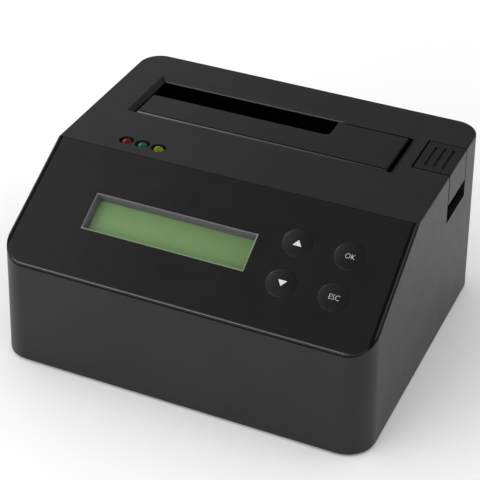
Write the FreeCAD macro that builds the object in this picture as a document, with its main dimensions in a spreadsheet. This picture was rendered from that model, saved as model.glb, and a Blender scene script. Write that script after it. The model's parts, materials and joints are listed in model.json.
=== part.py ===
"""Desk-top hard drive eraser dock, in millimetres.

Frame: +X to the right, +Y to the back, +Z up; the origin is on the table, under the middle of the footprint.
The driving sizes are cells of the sheet Dims. Names in WORKED_OUT are formulas of those sizes.
"""
import FreeCAD, Part
import math
import os
import re
import Sketcher

Vector = FreeCAD.Vector

SIZES = (
    # Casing, seen from above
    ("left_land", 16.7, "left foot line of the casing to the rim of the drive slot"),
    ("slot_width", 111.2, "drive slot at its rim, left to right"),
    ("eject_land", 4.6, "drive slot rim to the eject notch"),
    ("eject_reach", 17.5, "eject notch to the right foot line"),
    ("panel_reach", 49.2, "front foot line to the crease between panel and top"),
    ("slot_setback", 28.6, "crease to the rim of the drive slot"),
    ("slot_depth", 32.3, "drive slot at its rim, front to back"),
    ("rear_land", 18.9, "drive slot rim to the rear foot line"),
    # Casing, seen from the side
    ("body_height", 71.0, "lower edge of the casing to its top"),
    ("front_height", 44.0, "lower edge of the casing to the front edge of the panel"),
    ("wall_draft", 1.75, "lean of the outer walls, degrees"),
    ("corner_radius", 11.5, "upright corners at the foot line"),
    ("edge_round", 1.0, "rounding of the top edge"),
    ("wall", 2.5, "thickness of the walls"),
    ("roof", 2.5, "thickness of the top"),
    ("deck", 2.0, "sloping ledge that carries the panel"),
    ("deck_ledge", 8.0, "width of that ledge along its front and rear"),
    ("deck_margin", 1.6, "room round the boards in the deck's opening"),
    ("slot_bevel", 1.8, "bevel round the drive slot"),
    ("slot_front_bevel", 0.8, "bevel at the hinged edge of the slot"),
    ("boss_radius", 3.5, "corner bosses"),
    ("boss_inset", 11.0, "foot lines to the axes of the corner bosses"),
    # Base
    ("foot_height", 1.2, "rubber feet below the casing"),
    ("foot_radius", 6.0, "rubber feet"),
    ("foot_inset", 24.0, "foot lines to the axes of the feet"),
    ("foot_recess", 1.0, "depth of the seats of the feet"),
    ("base_thick", 3.0, "base plate"),
    ("base_gap", 0.3, "base plate to the walls"),
    ("vent_width", 2.5, "slots in the base plate"),
    ("vent_length", 26.0, "slots in the base plate"),
    ("vent_pitch", 6.0, "slots in the base plate"),
    ("vent_setback", 4.0, "crease to those slots"),
    ("vent_count", 8, "slots in the base plate"),
    # Fasteners and clearances
    ("fit_gap", 0.1, "pieces that seat in one another"),
    ("run_gap", 0.05, "radial clearance of pins and screws"),
    ("slide_gap", 0.4, "pieces that slide past one another"),
    ("screw_radius", 1.4, "shank of the large screws"),
    ("screw_head", 2.7, "head radius of the large screws"),
    ("screw_head_tall", 1.6, "head height of the large screws"),
    ("screw_bite", 8.0, "length of the large screws in their bosses"),
    ("pin_screw", 1.0, "shank of the small screws"),
    ("pin_screw_head", 2.0, "head radius of the small screws"),
    ("pin_screw_head_tall", 1.2, "head height of the small screws"),
    ("pin_screw_bite", 4.0, "length of the small screws in their posts"),
    ("post_radius", 2.4, "posts for the small screws"),
    ("board_thick", 1.6, "circuit boards"),
    ("peg_side_count", 12, "sides of the inner screws and of their posts and holes"),
    ("wire_side_count", 6, "sides of the spring wire"),
    # Control panel
    ("panel_thick", 2.2, "panel"),
    ("panel_seam", 0.15, "panel to the top at the crease"),
    ("panel_round", 1.0, "rounding of the panel's upper edge"),
    ("panel_groove", 0.6, "bevel under the panel's edge"),
    ("panel_screw_inset", 15.5, "side foot lines to the panel screws"),
    ("panel_screw_bite", 3.0, "length of the panel screws in the panel"),
    ("control_lift", 0.3, "controls above the middle of the panel"),
    # Display
    ("window_inset", 27.5, "left foot line to the display window"),
    ("window_width", 66.2, "display window"),
    ("window_height", 16.0, "display window"),
    ("frame_lip", 0.6, "surround that lines the window"),
    ("frame_ledge", 0.5, "ledge in the surround for the lens"),
    ("frame_flange", 3.0, "surround behind the panel"),
    ("frame_sink", 0.2, "surround below the panel's face"),
    ("lens_thick", 1.2, "clear lens"),
    ("glass_depth", 4.0, "panel's face to the display's bezel"),
    ("bezel_side", 2.5, "metal bezel beyond the window, left and right"),
    ("bezel_end", 5.2, "metal bezel beyond the window, front and rear"),
    ("bezel_sheet", 0.5, "sheet of the metal bezel"),
    ("glass_thick", 1.8, "display glass"),
    ("light_thick", 3.1, "light box behind the glass"),
    ("lcd_board_side", 6.9, "display board beyond the window, left and right"),
    ("lcd_board_end", 10.0, "display board beyond the window, front and rear"),
    # Keys
    ("key_gap", 14.7, "display window to the first keys"),
    ("key_pitch", 19.9, "key columns"),
    ("key_rows", 16.7, "key rows"),
    ("key_radius", 5.5, "keys"),
    ("key_clearance", 0.2, "keys in their holes"),
    ("key_rim", 0.2, "rim of a key above the panel"),
    ("key_crown", 0.6, "rise of a key's crown above its rim"),
    ("key_flat", 2.0, "radius of the flat in the middle of a key"),
    ("key_edge", 0.15, "bevel of a key's rim"),
    ("key_flange", 1.0, "flange that keeps a key in"),
    ("key_stem", 1.2, "stem under the flange"),
    ("key_stem_radius", 2.2, "stem under the flange"),
    ("plunger_radius", 1.7, "switch plungers"),
    ("plunger_rise", 0.8, "switch plungers above their switches"),
    ("plunger_hold", 0.8, "switch plungers inside their switches"),
    ("switch_well", 1.7, "wells of the plungers"),
    ("switch_size", 6.0, "key switches"),
    ("switch_height", 3.5, "key switches"),
    ("key_board_margin", 6.8, "key centres to the edge of their board"),
    ("key_post_reach", 3.0, "key rows to the screws of their board"),
    # Lamps
    ("led_inset", 27.5, "left foot line to the first lamp"),
    ("led_pitch", 6.8, "lamps"),
    ("led_setback", 7.7, "crease to the lamps"),
    ("led_radius", 2.5, "lamps"),
    ("led_clearance", 0.4, "lamps in their holes"),
    ("led_proud", 0.4, "lamps above the top"),
    ("led_length", 9.4, "lamp's flange to its tip"),
    ("led_taper", 1.4, "rounded end of a lamp"),
    ("led_flat", 1.1, "radius of the flat at a lamp's tip"),
    ("led_flange", 0.4, "lamp's flange beyond its body"),
    ("led_flange_tall", 1.0, "lamp's flange"),
    ("led_board_margin", 8.4, "end lamps to the ends of their board"),
    ("led_board_width", 9.0, "lamp board, front to back"),
    # Flap in the slot
    ("flap_thick", 2.7, "flap"),
    ("flap_round", 0.8, "rounding of the flap's upper edges"),
    ("flap_left_gap", 1.9, "slot to the left end of the flap"),
    ("flap_right_gap", 1.1, "slot to the right end of the flap"),
    ("flap_front_gap", 0.2, "slot to the front of the flap"),
    ("flap_back_gap", 3.25, "slot to the rear of the flap"),
    ("notch_width", 77.4, "cut-away for the small drive"),
    ("notch_depth", 14.1, "cut-away for the small drive"),
    ("notch_round", 2.0, "corner of that cut-away"),
    ("hinge_drop", 2.1, "underside of the top to the hinge axis"),
    ("hinge_tuck", 1.2, "front of the slot to the hinge axis"),
    ("barrel_radius", 1.6, "flap's barrel"),
    ("neck_thick", 1.3, "neck between barrel and flap"),
    ("barrel_inset", 4.0, "ends of the flap to its barrel"),
    ("pin_radius", 0.8, "hinge pin"),
    ("hinge_wire", 0.5, "wire of the flap spring"),
    ("hinge_turns", 2.25, "turns of the flap spring, from its rear leg to its front leg"),
    ("hinge_pitch", 0.8, "turns of the flap spring"),
    ("hinge_leg", 6.0, "legs of the flap spring"),
    ("hinge_leg_inset", 1.2, "end of the flap to the leg under it"),
    # Drive bay
    ("bay_relief", 0.8, "bay walls behind the edge of the slot"),
    ("bay_wall", 1.8, "bay walls"),
    ("bay_floor", 3.0, "floor of the bay"),
    ("bay_floor_height", 17.0, "lower edge of the casing to the bay's floor"),
    ("bay_post_inset", 3.4, "bay walls to the axes of its posts"),
    ("guide_height", 19.0, "guide ribs above the floor"),
    ("guide_thick", 1.6, "guide ribs"),
    ("guide_pitch", 33.0, "guide ribs on the front wall"),
    ("guide_side_pitch", 14.0, "guide ribs on the end walls"),
    ("guide_reach", 5.0, "guide ribs on the front wall"),
    ("guide_side_reach", 3.0, "guide ribs on the end walls"),
    # Eject button and lever
    ("eject_setback", 7.0, "front of the slot to the eject notch"),
    ("eject_length", 22.2, "eject notch, front to back"),
    ("eject_window", 21.0, "eject notch down the side wall"),
    ("eject_skirt", 13.4, "eject button down the side wall"),
    ("eject_gap", 0.5, "eject button in its notch"),
    ("eject_plate", 2.2, "top and skirt of the eject button"),
    ("groove_length", 15.2, "finger grooves"),
    ("groove_width", 1.2, "finger grooves"),
    ("groove_depth", 0.7, "finger grooves"),
    ("groove_pitch", 3.45, "finger grooves"),
    ("groove_round", 0.5, "ends of the finger grooves"),
    ("groove_inset", 4.5, "eject notch to the first finger groove"),
    ("stem_inset", 8.0, "right foot line to the eject stem"),
    ("stem_width", 3.4, "eject stem, left to right"),
    ("stem_depth", 6.0, "eject stem, front to back"),
    ("stem_end", 14.0, "lower edge of the casing to the end of the stem"),
    ("lug_reach", 1.2, "stem's stop under the collar"),
    ("lug_height", 2.0, "stem's stop under the collar"),
    ("collar_height", 31.0, "lower edge of the casing to the stem's collar"),
    ("collar_thick", 3.0, "stem's collar"),
    ("collar_wall", 2.0, "stem's collar"),
    ("shelf_drop", 17.0, "top of the casing to the spring shelf"),
    ("shelf_thick", 2.0, "spring shelf"),
    ("coil_radius", 2.5, "mean radius of the eject spring"),
    ("coil_wire", 0.7, "wire of the eject spring"),
    ("coil_turns", 3, "turns of the eject spring"),
    ("coil_inset", 4.1, "eject notch to the axis of the spring"),
    ("spigot_radius", 1.6, "spigots inside the eject spring"),
    ("spigot_length", 2.5, "spigots inside the eject spring"),
    ("lever_arm", 15.0, "lever pivot to the stem"),
    ("lever_tip", 1.5, "lever beyond the stem's middle, and beside it"),
    ("finger_arm", 11.0, "lever pivot to the lifting finger"),
    ("finger_width", 3.5, "lifting finger, left to right"),
    ("finger_foot", 1.2, "lever pivot to the underside of the finger"),
    ("finger_room", 1.4, "lifting finger in its slot"),
    ("hub_room", 1.2, "lever pivot to that slot"),
    ("lever_width", 5.0, "lever, front to back"),
    ("lever_thick", 1.8, "lever under the stem"),
    ("lever_gap", 0.3, "stem to the lever at rest"),
    ("pivot_height", 9.0, "lower edge of the casing to the lever pivot"),
    ("hub_radius", 3.2, "lever hub"),
    ("lever_pin", 1.25, "lever pin"),
    ("ear_thick", 2.2, "ears that hold the lever pin"),
    ("ear_cap", 1.5, "ears above the lever pin"),
    # Recess for the rear ports
    ("port_sink", 3.4, "rear foot line to the floor of the port recess"),
    ("port_low", 4.6, "lower edge of the casing to the port recess"),
    ("port_high", 26.0, "lower edge of the casing to the top of the port recess"),
    ("port_margin", 10.0, "middles of the outer ports to the ends of the recess"),
    # Main board and its sockets
    ("standoff", 2.5, "main board above the base plate"),
    ("board_gap", 1.5, "main board to the bay's posts and to the rear wall"),
    ("board_lever_gap", 8.0, "main board to the lifting finger"),
    ("board_inset", 3.5, "edges of the main board to its screws"),
    ("sata_inset", 34.0, "slot rim to the middle of the drive connector"),
    ("sata_setback", 5.5, "rear of the slot to the drive connector"),
    ("sata_length", 44.0, "drive connector"),
    ("sata_depth", 6.4, "drive connector"),
    ("sata_rise", 5.0, "drive connector above the bay's floor"),
    ("sata_slot", 1.7, "contact slots"),
    ("sata_slot_deep", 4.2, "contact slots"),
    ("sata_data", 10.4, "data contact slot"),
    ("sata_power", 20.6, "power contact slot"),
    ("sata_web", 2.4, "between the contact slots"),
    ("usb_offset", 63.0, "left edge of the main board to the data socket"),
    ("usb_width", 12.0, "data socket"),
    ("usb_height", 12.8, "data socket"),
    ("usb_depth", 14.0, "data socket"),
    ("usb_proud", 0.8, "data socket beyond the floor of the recess"),
    ("usb_sheet", 0.5, "data socket's shell"),
    ("usb_back", 2.0, "data socket's rear wall"),
    ("usb_step", 1.6, "shoulders of the data socket's mouth"),
    ("usb_shoulder", 7.4, "board to the shoulders of the data socket's mouth"),
    ("tongue_lift", 2.4, "board to the data socket's tongue"),
    ("tongue_sink", 2.0, "data socket's tongue inside its mouth"),
    ("tongue_width", 5.6, "data socket's tongue"),
    ("tongue_height", 3.2, "data socket's tongue"),
    ("jack_offset", 37.0, "left edge of the main board to the power socket"),
    ("jack_width", 9.4, "power socket"),
    ("jack_height", 11.0, "power socket"),
    ("jack_depth", 10.0, "power socket behind the wall"),
    ("jack_snout", 4.0, "power socket's snout"),
    ("jack_bore", 3.1, "power socket's bore"),
    ("jack_bore_deep", 9.0, "power socket's bore"),
    ("jack_pin", 1.0, "power socket's pin"),
    ("jack_pin_sink", 1.0, "power socket's pin inside its snout"),
    ("rocker_inset", 24.0, "left foot line to the power switch"),
    ("rocker_height", 15.0, "lower edge of the casing to the power switch"),
    ("rocker_bezel_wide", 10.6, "power switch bezel"),
    ("rocker_bezel_tall", 15.2, "power switch bezel"),
    ("rocker_bezel_thick", 1.4, "power switch bezel"),
    ("rocker_body_wide", 8.4, "power switch body"),
    ("rocker_body_tall", 13.0, "power switch body"),
    ("rocker_body_deep", 11.0, "power switch body"),
    ("rocker_wide", 6.4, "rocker"),
    ("rocker_tall", 11.0, "rocker"),
    ("rocker_axle", 1.0, "rocker's axle"),
    ("rocker_sink", 1.0, "rocker's axle below the bezel's face"),
    ("rocker_throw", 9.0, "lean of the rocker at each end, degrees"),
    ("rocker_taper", 1.6, "narrowing of the rocker towards its foot"),
    ("rocker_foot", 2.0, "rocker below its axle"),
    ("rocker_dip", 1.2, "middle of the rocker above its axle"),
    ("rocker_seat", 0.8, "ends of the axle inside the switch body"),
    ("ribbon_width", 20.0, "display ribbon"),
    ("ribbon_thick", 0.9, "display ribbon"),
    ("header_depth", 5.0, "ribbon headers"),
    ("header_height", 6.0, "ribbon headers"),
    ("header_offset", 12.5, "middle of the display to its header"),
    ("ribbon_drop", 10.0, "display's header to the bend of the ribbon"),
    ("chip_size", 10.0, "control chip"),
    ("chip_thick", 1.2, "control chip"),
    ("chip_inset", 34.0, "left edge of the main board to the chips"),
    ("chip_setback", 14.0, "front edge of the main board to the chips"),
    ("chip_pitch", 16.0, "chips"),
    ("can_radius", 3.2, "capacitors"),
    ("can_height", 7.5, "capacitors"),
    ("can_pitch", 9.0, "capacitors"),
    ("can_inset", 6.0, "right edge of the main board to the capacitors"),
    ("can_setback", 12.6, "front edge of the main board to the capacitors"),
)

WORKED_OUT = {
    "base_width": "left_land + slot_width + eject_land + eject_reach",
    "base_depth": "panel_reach + slot_setback + slot_depth + rear_land",
    "half_width": "base_width / 2",
    "half_depth": "base_depth / 2",
    "rim": "foot_height",
    "top": "rim + body_height",
    "ceiling": "top - roof",
    "lean": "tan(wall_draft)",
    # Sloping panel: its frame starts at the middle of its front edge
    "crease": "panel_reach - half_depth",
    "panel_front": "front_height * lean - half_depth",
    "panel_run": "crease - panel_front",
    "panel_rise": "body_height - front_height",
    "slope": "atan2(panel_rise; panel_run)",
    "panel_length": "sqrt(panel_run ^ 2 + panel_rise ^ 2)",
    "deck_under": "panel_thick + deck",
    "control_line": "panel_length / 2 + control_lift",
    # Display and keys, in the panel's frame
    "window_left": "window_inset - half_width",
    "window_right": "window_left + window_width",
    "window_middle": "window_left + window_width / 2",
    "bezel_back": "glass_depth + bezel_sheet + glass_thick + light_thick",
    "lcd_board_left": "window_left - lcd_board_side",
    "lcd_board_half": "window_height / 2 + lcd_board_end",
    "key_first": "window_right + key_gap",
    "key_last": "key_first + key_pitch",
    "key_low": "control_line - key_rows / 2",
    "key_high": "control_line + key_rows / 2",
    "key_under": "panel_thick + key_flange + key_stem",
    "switch_top": "key_under + plunger_rise",
    "key_board_top": "switch_top + switch_height",
    "panel_screw_side": "half_width - panel_screw_inset",
    # Lamps
    "led_first": "led_inset - half_width",
    "led_line": "crease + led_setback",
    "led_seat": "top + led_proud - led_length",
    # Slot, flap and bay
    "slot_left": "left_land - half_width",
    "slot_right": "slot_left + slot_width",
    "slot_front": "crease + slot_setback",
    "slot_back": "slot_front + slot_depth",
    "mouth_left": "slot_left + slot_bevel",
    "mouth_right": "slot_right - slot_bevel",
    "mouth_front": "slot_front + slot_front_bevel",
    "mouth_back": "slot_back - slot_bevel",
    "flap_left": "mouth_left + flap_left_gap",
    "flap_right": "mouth_right - flap_right_gap",
    "flap_front": "mouth_front + flap_front_gap",
    "flap_back": "mouth_back - flap_back_gap",
    "flap_under": "top - flap_thick",
    "notch_right": "mouth_left + notch_width",
    "notch_front": "mouth_back - notch_depth",
    "hinge_y": "mouth_front - hinge_tuck",
    "hinge_z": "ceiling - hinge_drop",
    "hinge_coil": "flap_under - hinge_z - hinge_wire / 2",
    "barrel_left": "flap_left + barrel_inset",
    "barrel_right": "flap_right - barrel_inset",
    "bay_left": "mouth_left - bay_relief",
    "bay_right": "mouth_right + bay_relief",
    "bay_front": "hinge_y - barrel_radius - slide_gap",
    "bay_back": "mouth_back + bay_relief",
    "bay_floor_top": "rim + bay_floor_height",
    "bay_under": "bay_floor_top - bay_floor",
    "bay_outside": "bay_right + bay_wall",
    # Eject button and lever
    "eject_left": "slot_right + eject_land",
    "eject_front": "slot_front + eject_setback",
    "eject_middle": "eject_front + eject_length / 2",
    "shelf_top": "top - shelf_drop",
    "coil_x": "eject_left + coil_inset",
    "stem_x": "half_width - stem_inset",
    "pivot_x": "stem_x - lever_arm",
    "pivot_z": "rim + pivot_height",
    "ear_span": "lever_width / 2 + slide_gap + ear_thick",
    # Base and main board
    "floor_top": "rim + base_thick",
    "board_under": "floor_top + standoff",
    "board_top": "board_under + board_thick",
    "port_face": "half_depth - port_sink",
    "port_inside": "port_face - wall",
    "board_left": "bay_left + bay_post_inset + post_radius + board_gap",
    "board_right": "pivot_x - finger_arm - board_lever_gap",
    "header_line": "control_line + header_offset",
    "header_end": "bezel_back + board_thick + header_height",
    "bend_depth": "header_end + ribbon_drop",
    "ribbon_y": "panel_front + header_line * cos(slope) + bend_depth * sin(slope)",
    "board_front": "ribbon_y - header_depth / 2 - board_gap",
    "board_back": "port_inside - board_gap",
    "usb_x": "board_left + usb_offset",
    "jack_x": "board_left + jack_offset",
    "jack_z": "board_top + jack_height / 2",
    "rocker_x": "rocker_inset - half_width",
    "rocker_z": "rim + rocker_height",
    "axle_y": "port_face + rocker_bezel_thick - rocker_sink",
    "sata_x": "slot_left + sata_inset",
    "sata_y": "slot_back - sata_setback",
}

doc = FreeCAD.newDocument("drive_dock")
sheet = doc.addObject("Spreadsheet::Sheet", "Dims")
for row, (alias, size, meaning) in enumerate(SIZES, start=1):
    sheet.set(f"A{row}", meaning)
    sheet.set(f"B{row}", str(size))
    sheet.setAlias(f"B{row}", alias)
doc.recompute()

ON_PLANE = 0.001
ALIASES = {alias for alias, size, meaning in SIZES}
WORD = re.compile(r"[a-z_]+")


def formula(text):
    """Write a formula of size names out in full, as the document's expressions need it."""
    def swap(match):
        word = match.group(0)
        if word in WORKED_OUT:
            return "(" + formula(WORKED_OUT[word]) + ")"
        return "Dims." + word if word in ALIASES else word
    return WORD.sub(swap, str(text))


def value(text):
    """The number that a formula of size names comes to."""
    result = sheet.evalExpression(formula(text))
    return float(getattr(result, "Value", result))


def bind(item, prop, text):
    item.setExpression(prop, formula(text))


# Frames: the spot of each one's origin and its turn about X. In the panel's frame Y runs up the slope and
# Z points out of the panel; in the rearward frame Y points down and Z points to the back.
UPRIGHT = ("0", "0", "0")
PANEL = ("panel_front", "(rim + front_height)", "slope")
REARWARD = ("0", "0", "-90")


def place(item, spot, frame=UPRIGHT):
    """Put an object's own origin at a spot of a frame."""
    across, along, out = spot
    origin_y, origin_z, turn = frame
    bind(item, "Placement.Base.x", across)
    if frame is UPRIGHT:
        bind(item, "Placement.Base.y", along)
        bind(item, "Placement.Base.z", out)
        return item
    item.Placement = FreeCAD.Placement(Vector(), FreeCAD.Rotation(Vector(1, 0, 0), 1))
    bind(item, "Placement.Base.y", f"{origin_y} + ({along}) * cos({turn}) - ({out}) * sin({turn})")
    bind(item, "Placement.Base.z", f"{origin_z} + ({along}) * sin({turn}) + ({out}) * cos({turn})")
    bind(item, "Placement.Rotation.Angle", turn)
    return item


def box(name, low, high, frame=UPRIGHT):
    """A block between two corners of a frame."""
    item = doc.addObject("Part::Box", name)
    for prop, start, end in zip(("Length", "Width", "Height"), low, high):
        bind(item, prop, f"({end}) - ({start})")
    return place(item, low, frame)


def rod(name, spot, radius, length, frame=UPRIGHT):
    """A cylinder that starts at a spot and runs out along the frame's Z."""
    item = doc.addObject("Part::Cylinder", name)
    bind(item, "Radius", radius)
    bind(item, "Height", length)
    return place(item, spot, frame)


def peg(name, spot, radius, length, frame=UPRIGHT):
    """A screw, or a post for one, with few sides. Its corners lie on the radius."""
    item = doc.addObject("Part::Prism", name)
    bind(item, "Polygon", "peg_side_count")
    bind(item, "Circumradius", radius)
    bind(item, "Height", length)
    return place(item, spot, frame)


def peg_hole(name, spot, radius, length, frame=UPRIGHT):
    """A hole for a peg. Its flats lie on the radius."""
    return peg(name, spot, f"({radius}) / cos(180 / peg_side_count)", length, frame)


def cross_rod(name, start, end, along, height, radius):
    """A cylinder along X, from start to end."""
    item = doc.addObject("Part::Cylinder", name)
    bind(item, "Radius", radius)
    bind(item, "Height", f"({end}) - ({start})")
    item.Placement = FreeCAD.Placement(Vector(), FreeCAD.Rotation(Vector(0, 1, 0), 90))
    return place(item, (start, along, height))


def join(name, pieces):
    item = doc.addObject("Part::MultiFuse", name)
    item.Shapes = pieces
    return item


def cut(name, base, tools):
    item = doc.addObject("Part::Cut", name)
    item.Base = base
    item.Tool = tools[0] if len(tools) == 1 else join(name + "_tools", tools)
    return item


def common(name, first, second):
    item = doc.addObject("Part::Common", name)
    item.Base = first
    item.Tool = second
    return item


def group(name, pieces):
    """Like pieces that share one node as separate solids."""
    item = doc.addObject("Part::Compound", name)
    item.Links = pieces
    return item


def new_body(name):
    return doc.addObject("PartDesign::Body", name)


def new_sketch(body, role="XY_Plane", offset=None):
    """A sketch on one of the body's own origin planes, moved out along its normal."""
    sketch = body.newObject("Sketcher::SketchObject", body.Name + "_sketch")
    plane = next(item for item in body.Origin.OriginFeatures if item.Role == role)
    sketch.AttachmentSupport = [(plane, "")]
    sketch.MapMode = "FlatFace"
    if offset:
        bind(sketch, "AttachmentOffset.Base.z", offset)
    return sketch


def pin_down(sketch, edge, end, spot):
    """Fix one end of an edge at a spot given by formulas."""
    for kind, text in zip(("DistanceX", "DistanceY"), spot):
        number = sketch.addConstraint(Sketcher.Constraint(kind, -1, 1, edge, end, value(text)))
        bind(sketch, f"Constraints[{number}]", text)


def outline(sketch, corners):
    """Draw a closed outline. A corner is (x, y), or (x, y, radius) where an arc leaves it.

    A positive radius bulges outwards on an outline drawn anticlockwise, a negative one inwards.
    """
    spots = [Vector(value(corner[0]), value(corner[1]), 0) for corner in corners]
    first_edge = sketch.GeometryCount
    ends = []
    for corner, start, stop in zip(corners, spots, spots[1:] + spots[:1]):
        if len(corner) == 2:
            sketch.addGeometry(Part.LineSegment(start, stop))
            ends.append((1, 2))
            continue
        radius = value(corner[2])
        chord = stop - start
        reach = math.sqrt(max(radius ** 2 - chord.Length ** 2 / 4, 0))
        inward = Vector(-chord.y, chord.x, 0).normalize() * math.copysign(reach, radius)
        centre = (start + stop) * 0.5 + inward
        circle = Part.Circle(centre, Vector(0, 0, 1), abs(radius))
        if radius > 0:
            sketch.addGeometry(Part.ArcOfCircle(circle, circle.parameter(start), circle.parameter(stop)))
            ends.append((1, 2))
        else:
            sketch.addGeometry(Part.ArcOfCircle(circle, circle.parameter(stop), circle.parameter(start)))
            ends.append((2, 1))
    for index, corner in enumerate(corners):
        follower = (index + 1) % len(corners)
        edge, next_edge = first_edge + index, first_edge + follower
        sketch.addConstraint(Sketcher.Constraint("Coincident", edge, ends[index][1],
                                                 next_edge, ends[follower][0]))
    for index, corner in enumerate(corners):
        edge = first_edge + index
        pin_down(sketch, edge, ends[index][0], corner[:2])
        if len(corner) == 3:
            radius = abs(value(corner[2]))
            number = sketch.addConstraint(Sketcher.Constraint("Radius", edge, radius))
            bind(sketch, f"Constraints[{number}]", f"abs({corner[2]})")


def rectangle(sketch, left, right, low, high, radius=None):
    """A rectangle, with rounded corners where a radius is given."""
    if radius is None:
        outline(sketch, [(left, low), (right, low), (right, high), (left, high)])
        return
    left_in, right_in = f"{left} + ({radius})", f"{right} - ({radius})"
    low_in, high_in = f"{low} + ({radius})", f"{high} - ({radius})"
    outline(sketch, [(left_in, low), (right_in, low, radius), (right, low_in), (right, high_in, radius),
                     (right_in, high), (left_in, high, radius), (left, high_in), (left, low_in, radius)])


def pad(body, sketch, length, symmetric=False, turned=False):
    item = body.newObject("PartDesign::Pad", body.Name + "_pad")
    item.Profile = sketch
    bind(item, "Length", length)
    item.Reversed = turned
    if symmetric:
        item.SideType = "Symmetric"
    doc.recompute()
    return item


def pocket(body, sketch, depth, upwards=False):
    item = body.newObject("PartDesign::Pocket", body.Name + "_pocket")
    item.Profile = sketch
    bind(item, "Length", depth)
    item.Reversed = upwards
    doc.recompute()
    return item


def turned_body(name, corners):
    """A body turned about Z from its half section, given as (radius, height) corners."""
    body = new_body(name)
    sketch = new_sketch(body, "XZ_Plane")
    outline(sketch, corners)
    item = body.newObject("PartDesign::Revolution", name + "_turn")
    item.Profile = sketch
    item.ReferenceAxis = (sketch, ["V_Axis"])
    item.Angle = 360
    doc.recompute()
    return body


def edges_where(shape, test):
    """The numbers of the edges whose middle passes a test."""
    def middle(edge):
        return edge.valueAt((edge.FirstParameter + edge.LastParameter) / 2)
    return [number for number, edge in enumerate(shape.Edges, start=1) if test(middle(edge))]


def body_fillet(body, base, test, radius):
    item = body.newObject("PartDesign::Fillet", body.Name + "_round")
    item.Base = (base, [f"Edge{number}" for number in edges_where(base.Shape, test)])
    bind(item, "Radius", radius)
    doc.recompute()


def small_screw(name, spot, length, frame=UPRIGHT, head_out=False):
    """A small screw along the frame's Z, its spot under the head; head_out puts the head outward."""
    across, along, seat = spot
    head_start = seat if head_out else f"({seat}) - pin_screw_head_tall"
    shank_start = f"({seat}) - ({length})" if head_out else seat
    head = peg(name + "_head", (across, along, head_start), "pin_screw_head", "pin_screw_head_tall", frame)
    shank = peg(name + "_shank", (across, along, shank_start), "pin_screw", length, frame)
    return join(name, [head, shank])


def tapered_block(name, inset, height):
    """A block with the casing's plan outline, moved inwards by inset, with the casing's leaning walls."""
    body = new_body(name)
    sketch = new_sketch(body)
    half_x, half_y = f"(half_width - {inset})", f"(half_depth - {inset})"
    rectangle(sketch, f"-{half_x}", half_x, f"-{half_y}", half_y, f"(corner_radius - {inset})")
    item = pad(body, sketch, height)
    bind(item, "TaperAngle", "-wall_draft")
    place(body, ("0", "0", "rim"))
    doc.recompute()
    return body, item


CORNERS = [(side, end) for side in ("-", "") for end in ("-", "")]
BOSS_SPOTS = [(f"{side}(half_width - boss_inset)", f"{end}(half_depth - boss_inset)") for side, end in CORNERS]
FOOT_SPOTS = [(f"{side}(half_width - foot_inset)", f"{end}(half_depth - foot_inset)") for side, end in CORNERS]
PANEL_SCREW_SPOTS = [(f"{side}panel_screw_side", along) for side in ("-", "")
                     for along in ("deck_ledge / 2", "panel_length - deck_ledge / 2")]
LCD_SCREW_SPOTS = [(f"window_middle {side} (window_width / 2 + lcd_board_side - post_radius)",
                    f"control_line {end} (lcd_board_half - post_radius)") for side in "-+" for end in "-+"]
KEY_SCREW_SPOTS = [("key_first + key_pitch / 2", f"control_line {end} (key_rows / 2 + key_post_reach)")
                   for end in "-+"]
LED_SCREW_SPOTS = [("led_first - led_board_margin + post_radius", "led_line"),
                   ("led_first + 2 * led_pitch + led_board_margin - post_radius", "led_line")]
BAY_POST_SPOTS = [(across, along) for across in ("bay_left + bay_post_inset", "bay_right - bay_post_inset")
                  for along in ("bay_front + bay_post_inset", "bay_back - bay_post_inset")]
BOARD_SCREW_SPOTS = [(across, along) for across in ("board_left + board_inset", "board_right - board_inset")
                     for along in ("board_front + board_inset", "board_back - board_inset")]
KEYS = {"up": ("key_first", "key_high"), "down": ("key_first", "key_low"),
        "ok": ("key_last", "key_high"), "esc": ("key_last", "key_low")}
LAMPS = ("red", "green", "yellow")


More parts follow.
